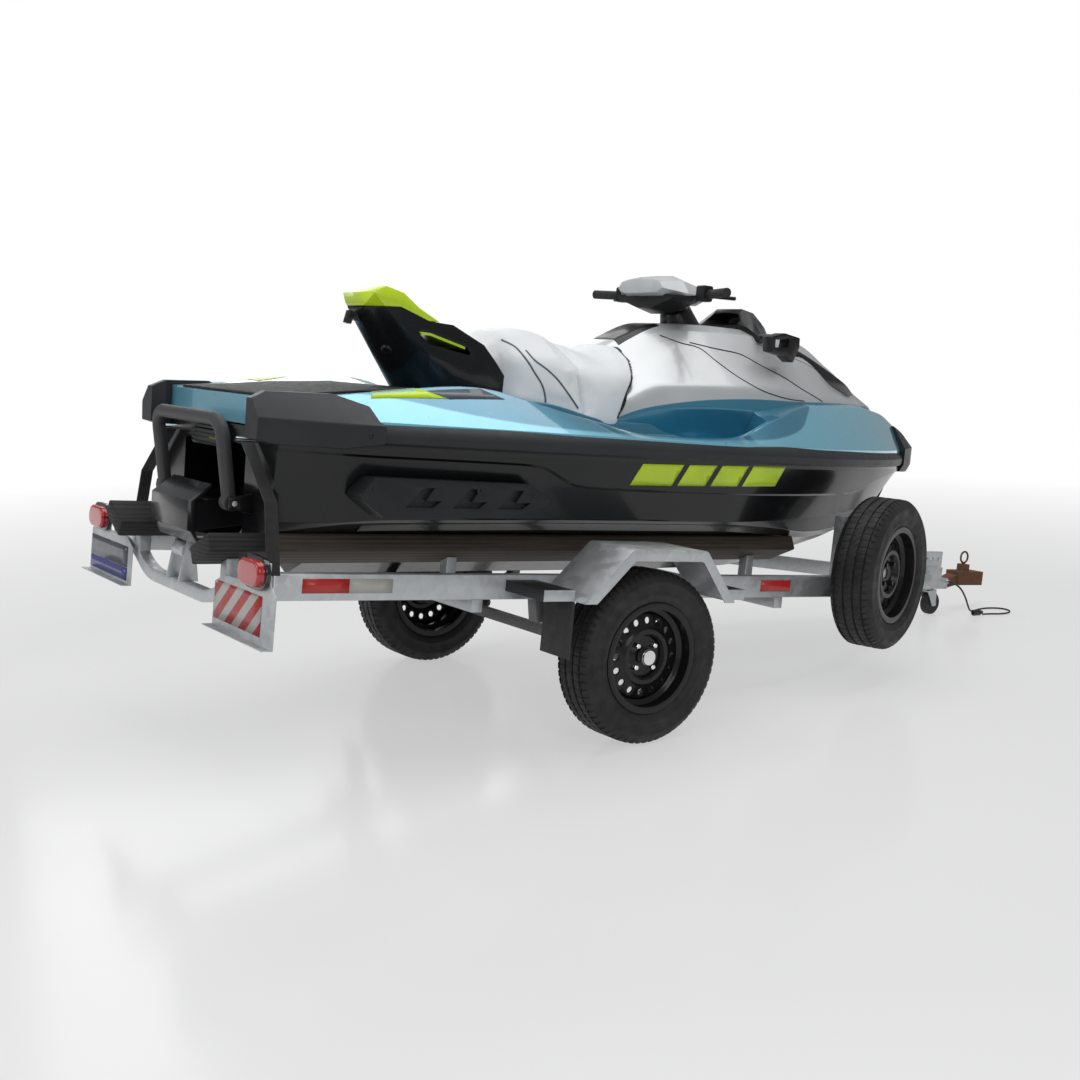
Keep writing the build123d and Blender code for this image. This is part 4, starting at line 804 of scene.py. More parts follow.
hullRows = (  # x, keel z, chine half width, chine z, sheer half width, inside floor z
    (-1.215, 0.175, 0.430, 0.395, 0.455, 0.655), (-1.050, 0.175, 0.500, 0.402, 0.530, 0.655),
    (-0.900, 0.175, 0.530, 0.415, 0.562, 0.655), (-0.560, 0.175, 0.542, 0.420, 0.584, 0.655),
    (-0.500, 0.175, 0.544, 0.421, 0.588, 0.520), (-0.200, 0.175, 0.552, 0.425, 0.603, 0.520),
    (0.450, 0.175, 0.552, 0.425, 0.600, 0.520), (0.700, 0.178, 0.520, 0.428, 0.570, 0.520),
    (0.950, 0.185, 0.455, 0.433, 0.535, 0.655), (1.350, 0.262, 0.320, 0.450, 0.410, 0.655),
    (1.620, 0.360, 0.200, 0.480, 0.282, 0.655), (1.800, 0.480, 0.100, 0.535, 0.165, 0.655),
    (1.885, 0.570, 0.045, 0.590, 0.095, 0.655),
)
grooveRows = (  # x, height of the moulded step on the hull's side
    (-1.215, 0.605), (-0.46, 0.601), (-0.40, 0.597), (-0.24, 0.540), (-0.17, 0.534), (0.60, 0.528), (1.20, 0.530),
    (1.34, 0.545), (1.46, 0.580), (1.885, 0.625),
)

hullSizes = {"bumperLow": 0.634, "sheer": 0.668, "wall": 0.06, "chineRound": 0.012, "stepIn": 0.007,
             "stepHeight": 0.007, "tunnelHalf": 0.235, "tunnelTop": 0.600, "tunnelX": -0.950, "deadrise": 0.4529,
             "strakes": (0.42, 0.90), "strakeDrop": 0.007, "strakeWidth": 0.026}


def hullOutline(x):
    sizes = hullSizes
    keel, chineY, chineZ, sheerY, inner = columnsAt(hullRows, x)
    groove = columnsAt(grooveRows, x)[0]
    bottomY = chineY - 0.026
    bottomZ = min(chineZ - 0.008, keel + bottomY * sizes["deadrise"])
    slope = (bottomZ - keel) / bottomY
    inTunnel = x < sizes["tunnelX"]
    half = sizes["tunnelHalf"] if inTunnel else 0.002
    top = sizes["tunnelTop"] if inTunnel else keel + 0.0005
    outline = [(0, top, 0), (half, top, 0.02), (half, keel + half * slope, 0)]
    width = sizes["strakeWidth"]
    for share in sizes["strakes"]:
        y = max(half + 0.01, bottomY * share)
        z = keel + y * slope
        drop = 0 if inTunnel else sizes["strakeDrop"]
        outline += [(y, z, 0), (y + 0.006, z - drop, 0.002), (y + width, z + width * slope, 0)]

    def sideY(z):
        share = (z - chineZ) / (sizes["bumperLow"] - 0.02 - chineZ)
        return chineY + (sheerY - chineY) * min(1, max(0, share))

    deep, rise, inY = sizes["stepIn"], sizes["stepHeight"], sheerY - sizes["wall"]
    low = min(groove, 0.61) - rise
    outline += [(bottomY, bottomZ, 0.006), (chineY - deep, chineZ, sizes["chineRound"]),
                (sideY(low) - deep, low, 0.004), (sideY(low + rise), low + rise, 0.003),
                (sheerY, 0.622, 0.01), (sheerY, sizes["sheer"], 0.002), (inY, sizes["sheer"], 0), (inY, inner, 0),
                (0, inner, 0)]
    return outline


def makeHull():
    tunnelX = hullSizes["tunnelX"]
    stations = spanOf(-1.215, 1.885, 0.03, (tunnelX - 0.0005, tunnelX + 0.0005, -0.53, -0.505))
    return loftAlong("hullShell", stations, hullOutline, "hull_black", sharp=32, replaced=("hull",))


# deck

deckRows = (  # x, sheer half width, shoulder y, shoulder z, inner y, inner z
    (-1.215, 0.455, 0.400, 0.752, 0.330, 0.745), (-1.050, 0.530, 0.455, 0.766, 0.345, 0.760),
    (-0.900, 0.562, 0.450, 0.788, 0.335, 0.778), (-0.560, 0.584, 0.430, 0.822, 0.300, 0.802),
    (-0.200, 0.603, 0.515, 0.752, 0.300, 0.790), (0.100, 0.603, 0.545, 0.708, 0.300, 0.745),
    (0.450, 0.600, 0.535, 0.714, 0.300, 0.762), (0.700, 0.570, 0.490, 0.790, 0.320, 0.850),
    (0.950, 0.535, 0.420, 0.852, 0.270, 0.872), (1.350, 0.410, 0.290, 0.862, 0.190, 0.880),
    (1.620, 0.282, 0.180, 0.846, 0.110, 0.862), (1.800, 0.165, 0.100, 0.806, 0.055, 0.815),
    (1.885, 0.095, 0.055, 0.786, 0.025, 0.790),
)
wellRows = ((-0.492, 0.0), (-0.476, 0.55), (-0.440, 1.0), (0.560, 1.0), (0.640, 0.72), (0.668, 0.0))  # x, depth share


def deckOutline(x):
    sizes = {"sheer": 0.668, "gunwale": 0.700, "wall": 0.062, "wellFloor": 0.546, "underWell": 0.54, "under": 0.66}
    sheerY, shoulderY, shoulderZ, innerY, innerZ = columnsAt(deckRows, x)
    depth = float(columnsAt(wellRows, np.clip(x, wellRows[0][0], wellRows[-1][0]))[0])
    width = shoulderY - innerY
    outY, inY = innerY + width * 0.90, innerY + width * 0.09
    outZ, inZ = shoulderZ + (innerZ - shoulderZ) * 0.10, shoulderZ + (innerZ - shoulderZ) * 0.91
    floorOut = outZ + (sizes["wellFloor"] - outZ) * depth
    floorIn = inZ + (sizes["wellFloor"] - inZ) * depth
    under = sizes["underWell"] if depth > 0 else sizes["under"]
    wallY = sheerY - sizes["wall"]
    return [(0, under, 0), (wallY, under, 0), (wallY, sizes["sheer"], 0), (sheerY, sizes["sheer"], 0),
            (sheerY, sizes["gunwale"], 0.006), (shoulderY, shoulderZ, 0.022), (outY, outZ, 0.010),
            (outY - 0.012 * depth, floorOut, 0.03), (inY + 0.012 * depth, floorIn, 0.03), (inY, inZ, 0.010),
            (innerY, innerZ, 0.012), (0, innerZ, 0)]


def makeDeck():
    # extra stations where the footwells begin and end
    wellEnds = (-0.4925, -0.492, -0.486, -0.480, -0.476, -0.465, -0.452, -0.440, 0.575, 0.59, 0.605, 0.62, 0.63,
                0.64, 0.648, 0.655, 0.661, 0.665, 0.668, 0.6685)
    return loftAlong("deckShell", spanOf(-1.215, 1.885, 0.03, wellEnds), deckOutline, "deck_teal", sharp=30,
                     replaced=("deck",))


# bumpers and bow cap

bumperRows = (  # x, outer half width
    (-1.05, 0.550), (-0.90, 0.582), (-0.20, 0.623), (0.45, 0.618), (0.95, 0.555), (1.35, 0.428), (1.62, 0.300),
    (1.80, 0.184),
)
capRows = (  # x, inner y, outer y low, low z, outer y top, top z
    (-1.284, 0.372, 0.452, 0.628, 0.410, 0.742), (-1.240, 0.366, 0.478, 0.618, 0.400, 0.764),
    (-1.062, 0.440, 0.562, 0.618, 0.470, 0.770), (-0.960, 0.470, 0.582, 0.634, 0.500, 0.742),
    (-0.945, 0.480, 0.580, 0.636, 0.540, 0.702),
)


def makeBumper(side, label):
    # profile of the strip: how far inside the outline, and height
    profile = ((0.052, 0.6345), (0.010, 0.6345), (0.002, 0.642), (0.000, 0.664), (0.004, 0.672), (0.020, 0.694),
               (0.030, 0.700), (0.052, 0.700))
    rear, front, reach = bumperRows[0][0], bumperRows[-1][0], 0.01
    strip = []
    for x in spanOf(rear, front, 0.03):
        here, before, after = [columnsAt(bumperRows, at)[0] for at in (x, max(x - reach, rear), min(x + reach, front))]
        outward = Vector(((before - after) / (2 * reach), 1)).normalized()
        strip.append([(x - outward.x * inside * 0.7, side * (here - outward.y * inside), z) for inside, z in profile])
    makePiece(f"bumperStrip{label}", strip, "bumper_grey", sharp=24, replaced=(f"bumper_{label.lower()}",))
    cap = []
    for x, innerY, lowY, lowZ, topY, topZ in capRows:
        corners = [(innerY, lowZ, 0.004), (lowY, lowZ, 0.008), (lowY + 0.006, min(0.690, topZ - 0.01), 0.008),
                   (topY, topZ, 0.010), (innerY, topZ, 0.004)]
        ring = roundCorners([corners[-1], *corners, corners[0]])[1:-1]
        cap.append([(x, side * y, z) for y, z in ring])
    return makePiece(f"sternCap{label}", cap, "bumper_grey", sharp=24)


def makeBowCap():
    rows = (  # x, bottom z, foot y, wide y, wall top z, slope y, slope z, ridge z
        (1.800, 0.606, 0.170, 0.192, 0.705, 0.120, 0.798, 0.812),
        (1.900, 0.604, 0.120, 0.140, 0.712, 0.080, 0.772, 0.784),
        (1.980, 0.606, 0.062, 0.078, 0.712, 0.042, 0.742, 0.750),
        (2.017, 0.616, 0.026, 0.034, 0.700, 0.018, 0.716, 0.720),
    )

    def outline(x):
        low, footY, wideY, wallZ, slopeY, slopeZ, ridge = columnsAt(rows, x)
        return [(0, low, 0), (footY, low + 0.002, 0.008), (wideY, 0.640, 0.006), (wideY, wallZ, 0.008),
                (slopeY, slopeZ, 0.008), (0, ridge, 0)]

    loftAlong("bowCap", spanOf(1.800, 2.017, 0.015), outline, "bumper_grey", sharp=30, replaced=("bow_cap",))


# console, hood and glovebox

bodyRows = (  # x, foot y, skirt y, skirt z, side y, side z, top y, top z
    (0.120, 0.300, 0.302, 0.750, 0.300, 0.800, 0.090, 0.930), (0.300, 0.318, 0.338, 0.800, 0.312, 0.880, 0.110, 1.050),
    (0.470, 0.326, 0.380, 0.815, 0.350, 0.890, 0.130, 1.112), (0.760, 0.400, 0.412, 0.820, 0.392, 0.900, 0.175, 1.124),
    (1.040, 0.385, 0.376, 0.830, 0.358, 0.890, 0.200, 1.120), (1.300, 0.280, 0.274, 0.820, 0.262, 0.878, 0.165, 1.035),
    (1.560, 0.165, 0.160, 0.800, 0.150, 0.858, 0.095, 0.935), (1.720, 0.080, 0.076, 0.790, 0.070, 0.840, 0.050, 0.878),
)
hoodCut = {"rear": 0.840, "rearZ": 1.072, "front": 1.725, "frontZ": 0.862, "half": 0.26, "top": 1.4, "seam": 0.002}
lidCut = {"rear": 0.270, "rearZ": 1.004, "front": 0.452, "frontZ": 1.078, "half": 0.095, "top": 1.3, "seam": 0.0012}


def bodyOutline(x):
    sizes = {"foot": 0.700, "hollow": 0.012, "crown": 0.026}
    footY, skirtY, skirtZ, sideY, sideZ, topY, topZ = columnsAt(bodyRows, x)
    foot, hollow, edgeZ = sizes["foot"], sizes["hollow"], topZ - sizes["crown"]
    waistY, waistZ = sideY + (topY - sideY) * 0.42, sideZ + (edgeZ - sideZ) * 0.50
    return [(0, foot, 0), (footY, foot, 0.004), (skirtY, skirtZ, 0.02), (sideY, sideZ, 0.07),
            (waistY - hollow, waistZ - hollow * 0.5, 0.2), (topY, edgeZ, 0.035), (topY * 0.6, topZ, 0.04),
            (0, topZ, 0)]


def slab(corners, half):
    # a block between two sides, from its outline (x, z), used only to cut with
    mesh = skinMesh("slab", [[(x, y, z) for x, z in corners] for y in (-half, half)])
    mesh.transform(craftFrame)
    work = bmesh.new()
    work.from_mesh(mesh)
    bmesh.ops.recalc_face_normals(work, faces=work.faces)
    work.to_mesh(mesh)
    work.free()
    block = bpy.data.objects.new("slab", mesh)
    bpy.context.scene.collection.objects.link(block)
    return block


def coverSlab(cut, gap):
    rear, front = cut["rear"] - gap, cut["front"] + gap
    return slab([(rear, cut["top"]), (rear, cut["rearZ"] - gap), (front, cut["frontZ"] - gap), (front, cut["top"])],
                cut["half"] + gap)


def cutWith(piece, block, operation):
    change = piece.modifiers.new("cut", "BOOLEAN")
    change.operation = operation
    change.solver = "EXACT"
    change.object = block
    applyModifiers(piece)
    bpy.data.objects.remove(block)


def makeBody():
    made = {}
    for name, material, slotName, body, node in (
            ("consoleShell", "console_silver", "body_silver", root, "console"),
            ("hoodShell", "body_silver", "body_silver", "front_hood", "hood"),
            ("gloveboxLid", "trim_black", "trim_black", "glovebox", "glovebox_lid")):
        made[node] = loftAlong(name, spanOf(0.120, 1.720, 0.025), bodyOutline, material, body=body,
                               slotName=slotName, replaced=(node,))
    cutWith(made["console"], coverSlab(hoodCut, hoodCut["seam"]), "DIFFERENCE")
    cutWith(made["console"], coverSlab(lidCut, lidCut["seam"]), "DIFFERENCE")
    cutWith(made["hood"], coverSlab(hoodCut, 0), "INTERSECT")
    cutWith(made["glovebox_lid"], coverSlab(lidCut, 0), "INTERSECT")
    for piece in made.values():
        resmooth(piece, 30)
    print("body")
    return made["console"]


# seat

seatRows = (  # x, skirt y, skirt z, side y, side z, top y, top z
    (-0.400, 0.140, 0.792, 0.130, 0.880, 0.080, 0.930), (-0.290, 0.160, 0.784, 0.150, 0.905, 0.100, 0.990),
    (-0.240, 0.235, 0.778, 0.196, 0.920, 0.112, 1.022), (-0.189, 0.262, 0.772, 0.222, 0.925, 0.120, 1.031),
    (-0.090, 0.290, 0.752, 0.240, 0.925, 0.120, 1.030), (-0.020, 0.318, 0.728, 0.262, 0.915, 0.115, 1.012),
    (0.060, 0.336, 0.712, 0.280, 0.905, 0.108, 0.990), (0.120, 0.336, 0.716, 0.285, 0.905, 0.105, 0.976),
    (0.200, 0.325, 0.745, 0.280, 0.915, 0.110, 1.004), (0.262, 0.300, 0.790, 0.262, 0.930, 0.115, 1.030),
)

seatSizes = {"split": -0.020, "gap": 0.003, "inset": 0.005, "voxel": 0.007, "pressure": 4.0, "swell": 0.007,
             "tension": 15, "frames": 20}


def seatOutline(x):
    inset, lift = seatSizes["inset"], 0.006
    skirtY, skirtZ, sideY, sideZ, topY, topZ = columnsAt(seatRows, x)
    crown = topZ - inset
    return [(0, skirtZ - lift, 0), (skirtY - 0.03 - inset, skirtZ - lift, 0.01), (skirtY - inset, skirtZ + 0.01, 0.02),
            (sideY - inset, sideZ, 0.10), (topY, crown - 0.012, 0.05), (topY * 0.5, crown, 0.05), (0, crown, 0)]


def inflate(piece):
    # foam under vinyl: the shell is blown up a little and kept close to its shape
    remesh = piece.modifiers.new("even", "REMESH")
    remesh.mode = "VOXEL"
    remesh.voxel_size = seatSizes["voxel"]
    applyModifiers(piece)
    before = np.array([v.co for v in piece.data.vertices], float)
    cloth = piece.modifiers.new("pad", "CLOTH")
    cloth.settings.use_pressure = True
    cloth.settings.uniform_pressure_force = seatSizes["pressure"]
    cloth.settings.effector_weights.gravity = 0
    cloth.settings.tension_stiffness = seatSizes["tension"]
    cloth.point_cache.frame_start = 1
    cloth.point_cache.frame_end = seatSizes["frames"]
    scene = bpy.context.scene
    for number in range(1, seatSizes["frames"] + 1):
        scene.frame_set(number)
    applyModifiers(piece)
    moves = np.array([v.co for v in piece.data.vertices], float) - before
    lengths = np.linalg.norm(moves, axis=1, keepdims=True)
    limited = before + moves * np.minimum(1, seatSizes["swell"] / np.maximum(lengths, 1e-9))
    for vertex, target in zip(piece.data.vertices, limited):
        vertex.co = target
    scene.frame_set(1)
    smooth = piece.modifiers.new("even out", "SMOOTH")
    smooth.factor = 0.5
    smooth.iterations = 6
    applyModifiers(piece)
    piece.data.shade_smooth()


def makeSeat():
    # the seat's front edge runs back and down beside the console
    beyond = ((0.300, 1.100), (0.262, 1.040), (0.262, 0.990), (0.256, 0.956), (0.228, 0.922), (0.203, 0.878),
              (0.172, 0.833), (0.144, 0.784), (0.112, 0.736), (0.092, 0.690), (0.300, 0.690))
    split, gap = seatSizes["split"], seatSizes["gap"]
    made = []
    for name, rear, front, node in (("seatRear", seatRows[0][0], split - gap, "seat_rear"),
                                    ("seatFront", split + gap, seatRows[-1][0], "seat_front")):
        piece = loftAlong(name, spanOf(rear, front, 0.015), seatOutline, "seat_vinyl", sharp=180, replaced=(node,))
        if name == "seatFront":
            cutWith(piece, slab(beyond, 0.5), "DIFFERENCE")
        inflate(piece)
        made.append(piece)
    print("seat")
    return made


# tyres

tyre = {"radius": 0.284, "bead": 0.1662, "half": 0.083, "pitches": 66, "groove": 0.0065, "grooveHalf": 0.0042,
        "crossCut": 0.0045, "wheelY": 0.666}


def makeTyre(name, node, body, place):
    # profile columns: radius, y, and how much of a cross cut reaches there
    big, half = tyre["radius"], tyre["half"]
    low, wide, narrow = big - tyre["groove"], tyre["grooveHalf"], tyre["grooveHalf"] - 0.001
    side = [(tyre["bead"], 0.0565, 0), (0.1700, 0.0640, 0), (0.1825, 0.0655, 0), (0.1880, 0.0725, 0),
            (0.1960, 0.0775, 0), (0.2060, 0.0795, 0), (0.2085, 0.0812, 0), (0.2110, 0.0812, 0), (0.2130, 0.0805, 0),
            (0.2300, half, 0), (0.2470, 0.0815, 0), (0.2490, 0.0822, 0), (0.2510, 0.0818, 0), (0.2620, 0.0775, 0),
            (0.2700, 0.0720, 0.3), (0.2765, 0.0665, 0.9), (0.2812, 0.0600, 1)]
    tread = []
    for centre in (-0.052, -0.018, 0.018, 0.052):
        tread += [(big - 0.0006, centre - wide, 0.8), (low, centre - narrow, 0), (low, centre + narrow, 0),
                  (big - 0.0006, centre + wide, 0.8)]
        if centre < 0.05:
            tread += [(big, centre + 0.012, 0.25), (big, centre + 0.022, 0.25)]
    profile = [(r, -y, c) for r, y, c in side] + tread + [(r, y, c) for r, y, c in reversed(side)]
    turn = 2 * math.pi / tyre["pitches"]
    rings = []
    for pitch in range(tyre["pitches"]):
        for phase, deep in ((0.0, 0), (0.30, 0), (0.36, 1), (0.64, 1), (0.70, 0)):
            ring = []
            for radius, y, share in profile:
                # the cross cuts are shallow near the middle, and the two halves of the tread are staggered
                r = radius - deep * share * tyre["crossCut"] * (1 if abs(y) > 0.024 else 0.5)
                angle = turn * (pitch + phase + (0.5 if y > 0 else 0))
                ring.append((r * math.cos(angle), y, r * math.sin(angle)))
            rings.append(ring)
    makePiece(name, rings, "tyre_rubber", closed=True, body=body, place=place, sharp=35, replaced=(node,))


def makeWheelFittings(label, body, place, outward):
    sizes = {"circle": 0.050, "lugRadius": 0.0098, "capRadius": 0.0278}
    base = place @ Matrix.Rotation(0 if outward > 0 else math.pi, 4, "Z")
    r, s = sizes["capRadius"], sizes["lugRadius"]
    cap = [(0.0001, 0.060), (r * 0.55, 0.0595), (r * 0.86, 0.0585), (r, 0.0545), (r, 0.030), (r - 0.002, 0.030)]
    nut = [(0.0001, 0.0425), (s * 0.7, 0.0425), (s * 0.95, 0.0405), (s, 0.036), (s, 0.024)]
    turnedPiece(f"hubCap{label}", cap, "bright_steel", body, base, 40, slotName="wheel_black")
    for index in range(4):
        angle = math.radians(45 + 90 * index)
        at = base @ Matrix.Translation((sizes["circle"] * math.cos(angle), 0, -sizes["circle"] * math.sin(angle)))
        turnedPiece(f"lugNut{label}{index + 1}", nut, "bright_steel", body, at, 6, slotName="wheel_black", sharp=20)


def makeWheels():
    spare = {"place": (1.191, -0.628, 0.270), "turn": 197.2}
    rimEdge = 0.0015
    for label, side in (("Left", 1), ("Right", -1)):
        place = trailerFrame @ Matrix.Translation((0, side * tyre["wheelY"], 0))
        body = f"wheel_{label.lower()}"
        makeTyre(f"tyre{label}", f"tyre_{label.lower()}", body, place)
        makeWheelFittings(label, body, place, side)
        roundedNode(f"rim_{label.lower()}", rimEdge)
    place = trailerFrame @ Matrix.Translation(spare["place"]) @ Matrix.Rotation(math.radians(spare["turn"]), 4, "Z")
    makeTyre("tyreSpare", "spare_tyre", root, place)
    roundedNode("spare_rim", rimEdge)
    print("wheels")


# trailer steel and the remaining rigid pieces, with their edge radii in metres

edgeRadii = {
    "rail_left": 0.003, "rail_right": 0.003, "arm_left": 0.003, "arm_right": 0.003, "rear_crossmember": 0.003,
    "cross_mid": 0.003, "cross_front": 0.003, "drawbar": 0.002, "coupler": 0.002, "caster_fork": 0.001,
    "caster_wheel": 0.001, "axle_beam": 0.003, "spring_left": 0.0012, "spring_right": 0.0012, "fender_left": 0.001,
    "fender_right": 0.001, "mudflaps": 0.001, "lamp_boards": 0.0008, "lamps": 0.002, "keel_roller": 0.001,
    "spare_post": 0.002, "bunk_left": 0.006, "bunk_right": 0.006, "tail_fairing": 0.008, "tail_cap": 0.012,
    "sponson_left": 0.003, "sponson_right": 0.003, "rear_mat": 0.003, "hood_cowl": 0.006, "steering_cone": 0.004,
    "handlebar": 0.002, "bar_pod": 0.006, "grips": 0.002, "pump_housing": 0.002, "impeller": 0.001,
    "steering_nozzle": 0.0015, "reverse_gate": 0.003, "ride_plate": 0.003, "boarding_step": 0.001,
    "engine_block": 0.008, "straps": 0.0006,
}


def makeRigidPieces():
    made = {}
    for node, radius in edgeRadii.items():
        made[node] = roundedNode(node, radius, material="fender_zinc" if node.startswith("fender") else None)
    print("rigid pieces", len(made))
    return made


# stern fittings, hinge knuckles and straps' hooks

def makeSternFittings():
    sizes = {"transom": -1.195, "ventHalf": 0.095, "ventLow": 0.582, "eyeY": 0.2934, "eyeZ": 0.6175,
             "eyeRadius": 0.008, "pinX": -1.268, "pinZ": 0.430, "pinRadius": 0.010}
    transom, low = sizes["transom"], sizes["ventLow"]
    top, knee, foot = (-1.221, 0.660), (-1.251, 0.628), (-1.253, 0.590)
    # louvres: three teeth on each slope, (share of a tooth, depth)
    tooth, teeth = ((0, 0), (0.6, 0), (0.62, 0.006), (0.95, 0.006)), 3
    louvre = [(transom, low), (transom, top[1])]
    for start, end in ((top, knee), (knee, foot)):
        for index in range(teeth):
            for part, deep in tooth:
                share = (index + part) / teeth
                louvre.append((start[0] + (end[0] - start[0]) * share + deep, start[1] + (end[1] - start[1]) * share))
    louvre += [foot, (-1.247, low)]
    vent = extruded("sternVent", louvre, -sizes["ventHalf"], sizes["ventHalf"], "trim_black", "hull_black")
    film("ventLabel", ((-0.088, 0.594), (-0.030, 0.594), (-0.030, 0.606), (-0.088, 0.606)), "rear", treeOf(vent),
         "yellow_film", "hull_black", lift=0.0006)
    ear = ((transom, 0.396), (transom, 0.464), (-1.284, 0.446), (-1.284, 0.414))
    r = sizes["pinRadius"]
    pin = [(0.0001, 0.237), (r * 0.8, 0.237), (r, 0.239), (r, 0.291), (r * 0.8, 0.2965), (0.0001, 0.2965)]
    for label, side in (("Left", 1), ("Right", -1)):
        extruded(f"stepEar{label}", ear, *sorted((side * 0.280, side * 0.294)), "trim_black", "hull_black", 0.003)
        turn = Matrix.Rotation(0 if side > 0 else math.pi, 4, "Z")
        at = craftFrame @ Matrix.Translation((sizes["pinX"], 0, sizes["pinZ"])) @ turn
        turnedPiece(f"stepPin{label}", pin, "bright_steel", root, at, 32, slotName="hull_black")
        tube(f"towEye{label}", [(x, side * sizes["eyeY"], sizes["eyeZ"]) for x in (transom, -1.235, -1.276)],
             sizes["eyeRadius"], "bright_steel", craftFrame, kind="POLY")
    print("stern fittings")


def makeKnuckles():
    hinge = {"x": 0.841, "z": 1.124, "radius": 0.005, "fixed": (0.062, 0.080), "hood": (0.0803, 0.098)}
    for label, turn in (("Left", 0), ("Right", math.pi)):
        at = craftFrame @ Matrix.Translation((hinge["x"], 0, hinge["z"])) @ Matrix.Rotation(turn, 4, "Z")
        for name, body in (("fixed", root), ("hood", "front_hood")):
            turnedPiece(f"{name}Knuckle{label}", cylinder(hinge["radius"], *hinge[name], 0.001), "trim_black", body,
                        at, 24, slotName="body_silver")
    print("knuckles")


def makeStrapHooks():
    hook = {"x": -1.252, "wire": 0.0035}
    path = ((0.5455, 0.236), (0.5455, 0.205), (0.5455, 0.172), (0.542, 0.158), (0.528, 0.1535), (0.512, 0.156))
    for label, side in (("Left", 1), ("Right", -1)):
        tube(f"strapHook{label}", [(hook["x"], side * y, z) for y, z in path], hook["wire"], "bright_steel",
             trailerFrame)
    print("strap hooks")


# stripes, films, seams and small fixings

def makeMarkings():
    # slanted lime bars on the hull's side: x where each starts and ends at its foot
    bars = {"spans": ((-0.030, 0.150), (0.175, 0.300), (0.325, 0.450), (0.475, 0.660)), "lean": 0.034,
            "low": 0.546, "rise": 0.017, "high": 0.072}
    lime = ((-0.942, 0.474), (-0.685, 0.479), (-0.748, 0.451), (-0.900, 0.400))
    grey = ((-0.744, 0.452), (-0.541, 0.436), (-0.469, 0.471), (-0.676, 0.480))
    hullTree, deckTree = treeOf(hull), treeOf(deck)
    for cast, side in (("right", -1), ("left", 1)):
        label = cast.capitalize()
        for index, (first, last) in enumerate(bars["spans"]):
            foot = [bars["low"] + bars["rise"] * max(0, x) for x in (first, last)]
            corners = ((first, foot[0]), (last, foot[1]), (last + bars["lean"], foot[1] + bars["high"]),
                       (first + bars["lean"], foot[0] + bars["high"]))
            film(f"limeBar{label}{index + 1}", corners, cast, hullTree, "lime_film", "tail_lime")
        film(f"deckStripe{label}", [(x, side * y) for x, y in lime], "top", deckTree, "lime_film", "tail_lime")
        film(f"deckPanel{label}", [(x, side * y) for x, y in grey], "top", deckTree, "grey_film", "deck_teal")


def makeBodySeams():
    seatTree, edgeTree, consoleTree = treeOf(seats[0]), treeOf(seats[1], console), treeOf(console)
    # each line's surface, width, lift, finish, slot, and its points (x, z) as seen from the side
    seams = {
        "consoleSeam": (consoleTree, 0.0035, 0.0008, "trim_black", "trim_black", (
            (0.423, 1.064), (0.486, 1.043), (0.556, 1.030), (0.592, 0.988), (0.645, 0.934), (0.718, 0.894),
            (0.842, 0.872), (0.958, 0.868))),
        "hoodSeam": (consoleTree, 0.0035, 0.0008, "trim_black", "trim_black", (
            (0.529, 1.048), (0.624, 1.034), (0.725, 1.022), (0.792, 0.989), (0.890, 0.950), (0.973, 0.910),
            (1.089, 0.872))),
        "seatSeamRear": (seatTree, 0.006, 0.0008, "grey_film", "seat_vinyl", (
            (-0.262, 0.988), (-0.232, 0.968), (-0.216, 0.934), (-0.194, 0.890), (-0.171, 0.851), (-0.158, 0.810),
            (-0.156, 0.785))),
        "seatSeamMid": (seatTree, 0.006, 0.0008, "grey_film", "seat_vinyl", (
            (-0.203, 0.959), (-0.186, 0.928), (-0.144, 0.898), (-0.110, 0.868), (-0.074, 0.820), (-0.043, 0.777))),
        "seatEdge": (edgeTree, 0.014, 0.0015, "trim_black", "trim_black", (
            (0.252, 1.005), (0.252, 0.988), (0.246, 0.956), (0.218, 0.922), (0.193, 0.878), (0.162, 0.833),
            (0.134, 0.784), (0.112, 0.750))),
    }
    for cast in ("right", "left"):
        for name, (surface, width, lift, material, slotName, line) in seams.items():
            seamLine(name + cast.capitalize(), line, width, cast, surface, material, slotName, lift=lift, cell=0.01)


def makeBowBlades():
    # black vents that stand proud beside the hood: lower and upper edge of each station (x, y, z)
    lower = ((1.031, 0.243, 1.040), (1.075, 0.246, 1.008), (1.185, 0.240, 0.960), (1.285, 0.222, 0.934),
             (1.421, 0.180, 0.907))
    upper = ((1.057, 0.228, 1.062), (1.122, 0.234, 1.038), (1.214, 0.228, 1.006), (1.363, 0.206, 0.956),
             (1.480, 0.158, 0.913))
    sizes = {"depth": 0.034, "drop": 0.35, "steps": 4, "edge": 0.0025}
    for label, side in (("Left", 1), ("Right", -1)):
        rings = []
        for low, high in zip(smoothLine(lower, sizes["steps"]), smoothLine(upper, sizes["steps"])):
            rings.append([(at.x, side * (at.y - deep), at.z - deep * sizes["drop"])
                          for at, deep in ((low, 0), (high, 0), (high, sizes["depth"]), (low, sizes["depth"]))])
        softEdges(makePiece(f"bowBlade{label}", rings, "trim_black", body="front_hood", sharp=35), sizes["edge"])


def rectangle(first, last, low, high):
    return (first, low), (last, low), (last, high), (first, high)


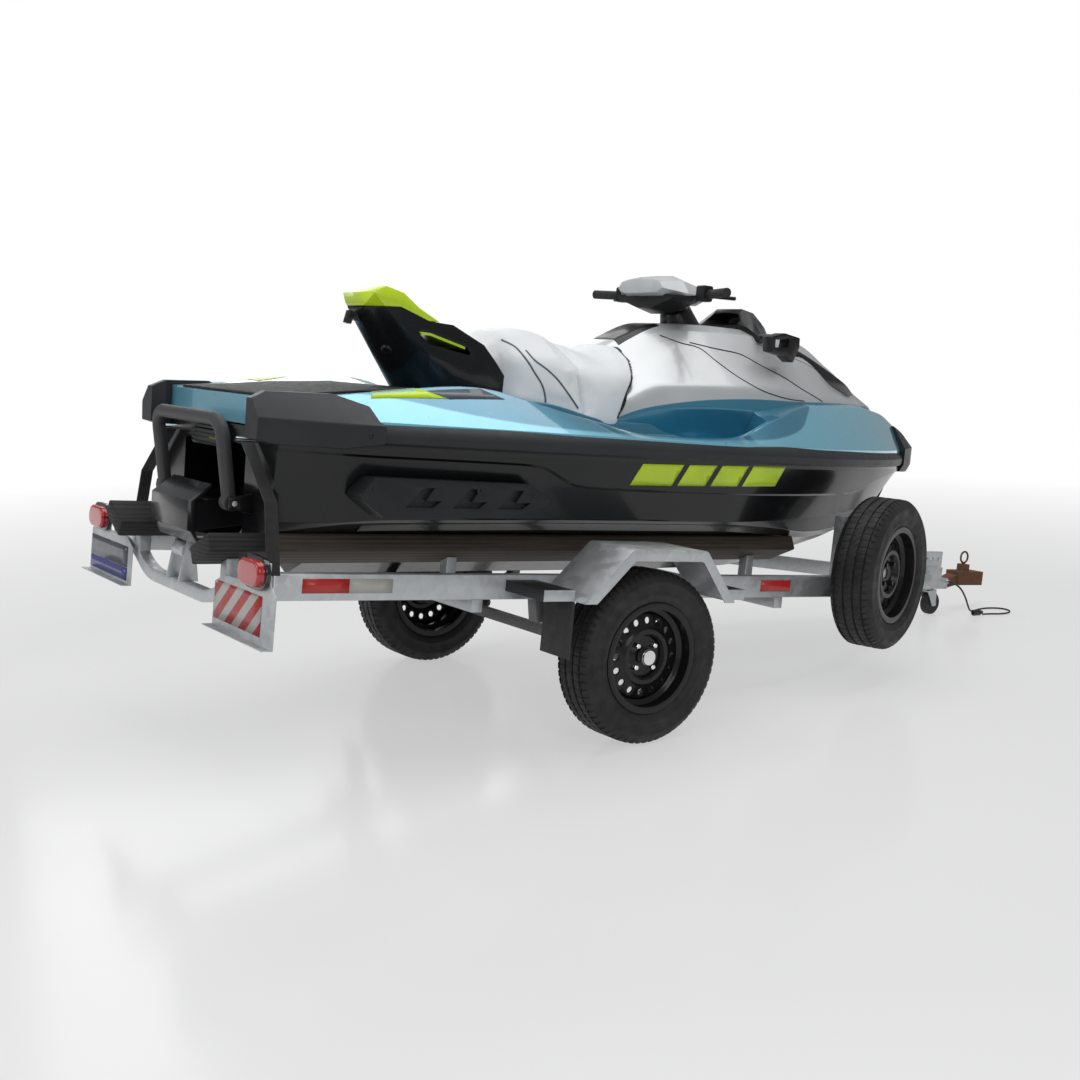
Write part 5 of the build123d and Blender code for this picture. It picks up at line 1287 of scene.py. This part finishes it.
def makeTrailerMarkings():
    tapes = {"low": 0.184, "high": 0.226, "spans": (("red_film", -1.160, -1.010), ("white_film", -1.010, -0.866),
                                                    ("red_film", 0.660, 0.811))}
    for cast in ("right", "left"):
        rail = treeOf(rigid[f"rail_{cast}"])
        for index, (material, first, last) in enumerate(tapes["spans"]):
            film(f"railTape{cast.capitalize()}{index + 1}", rectangle(first, last, tapes["low"], tapes["high"]),
                 cast, rail, material, "galvanised", trailerFrame, cell=0.05)
    boards = treeOf(rigid["lamp_boards"])
    for name, material, *corners in (("stripeBoard", "warning_stripes", -0.662, -0.348, 0.086, 0.196),
                                     ("plateUpper", "plate_dark", 0.330, 0.742, 0.118, 0.186),
                                     ("plateLower", "blue_film", 0.330, 0.742, 0.074, 0.116)):
        film(name, rectangle(*corners), "rear", boards, material, "galvanised", trailerFrame, cell=0.05)
    print("markings")


def makeSmallFixings():
    sizes = {"capScrew": (-0.991, 0.659), "capRadius": 0.008, "finRadius": 0.0085, "plug": (-0.055, 0.918),
             "plugRadius": 0.020, "linerHalf": 0.150}
    finScrews = ((-0.998, 0.510), (-0.826, 0.514), (-0.632, 0.514), (-0.441, 0.505))
    liner = ((-0.600, 0.9845), (-0.560, 0.9835), (-0.424, 0.9505), (-0.424, 0.9425), (-0.560, 0.9755),
             (-0.592, 0.9765))
    for label, cap in sternCaps.items():
        cast = label.lower()
        screwOn(f"capScrew{label}", *sizes["capScrew"], cast, treeOf(cap), sizes["capRadius"], "bumper_grey")
        fin = treeOf(rigid[f"sponson_{cast}"])
        for index, at in enumerate(finScrews):
            if castOn(fin, craftFrame, cast, *at)[0] is not None:
                screwOn(f"finScrew{label}{index + 1}", *at, cast, fin, sizes["finRadius"], "fin_grey")
    extruded("slotLiner", liner, -sizes["linerHalf"], sizes["linerHalf"], "tail_lime", "tail_lime")
    screwOn("tailPlug", *sizes["plug"], "rear", treeOf(rigid["tail_fairing"]), sizes["plugRadius"], "tail_black")
    print("small fixings")


makeCamera()
makeStudio()
makeLead()
hull = makeHull()
deck = makeDeck()
sternCaps = {label: makeBumper(side, label) for label, side in (("Left", 1), ("Right", -1))}
makeBowCap()
console = makeBody()
seats = makeSeat()
rigid = makeRigidPieces()
makeWheels()
makeSternFittings()
makeKnuckles()
makeStrapHooks()
makeMarkings()
makeBodySeams()
makeBowBlades()
makeTrailerMarkings()
makeSmallFixings()
print("shapes done")
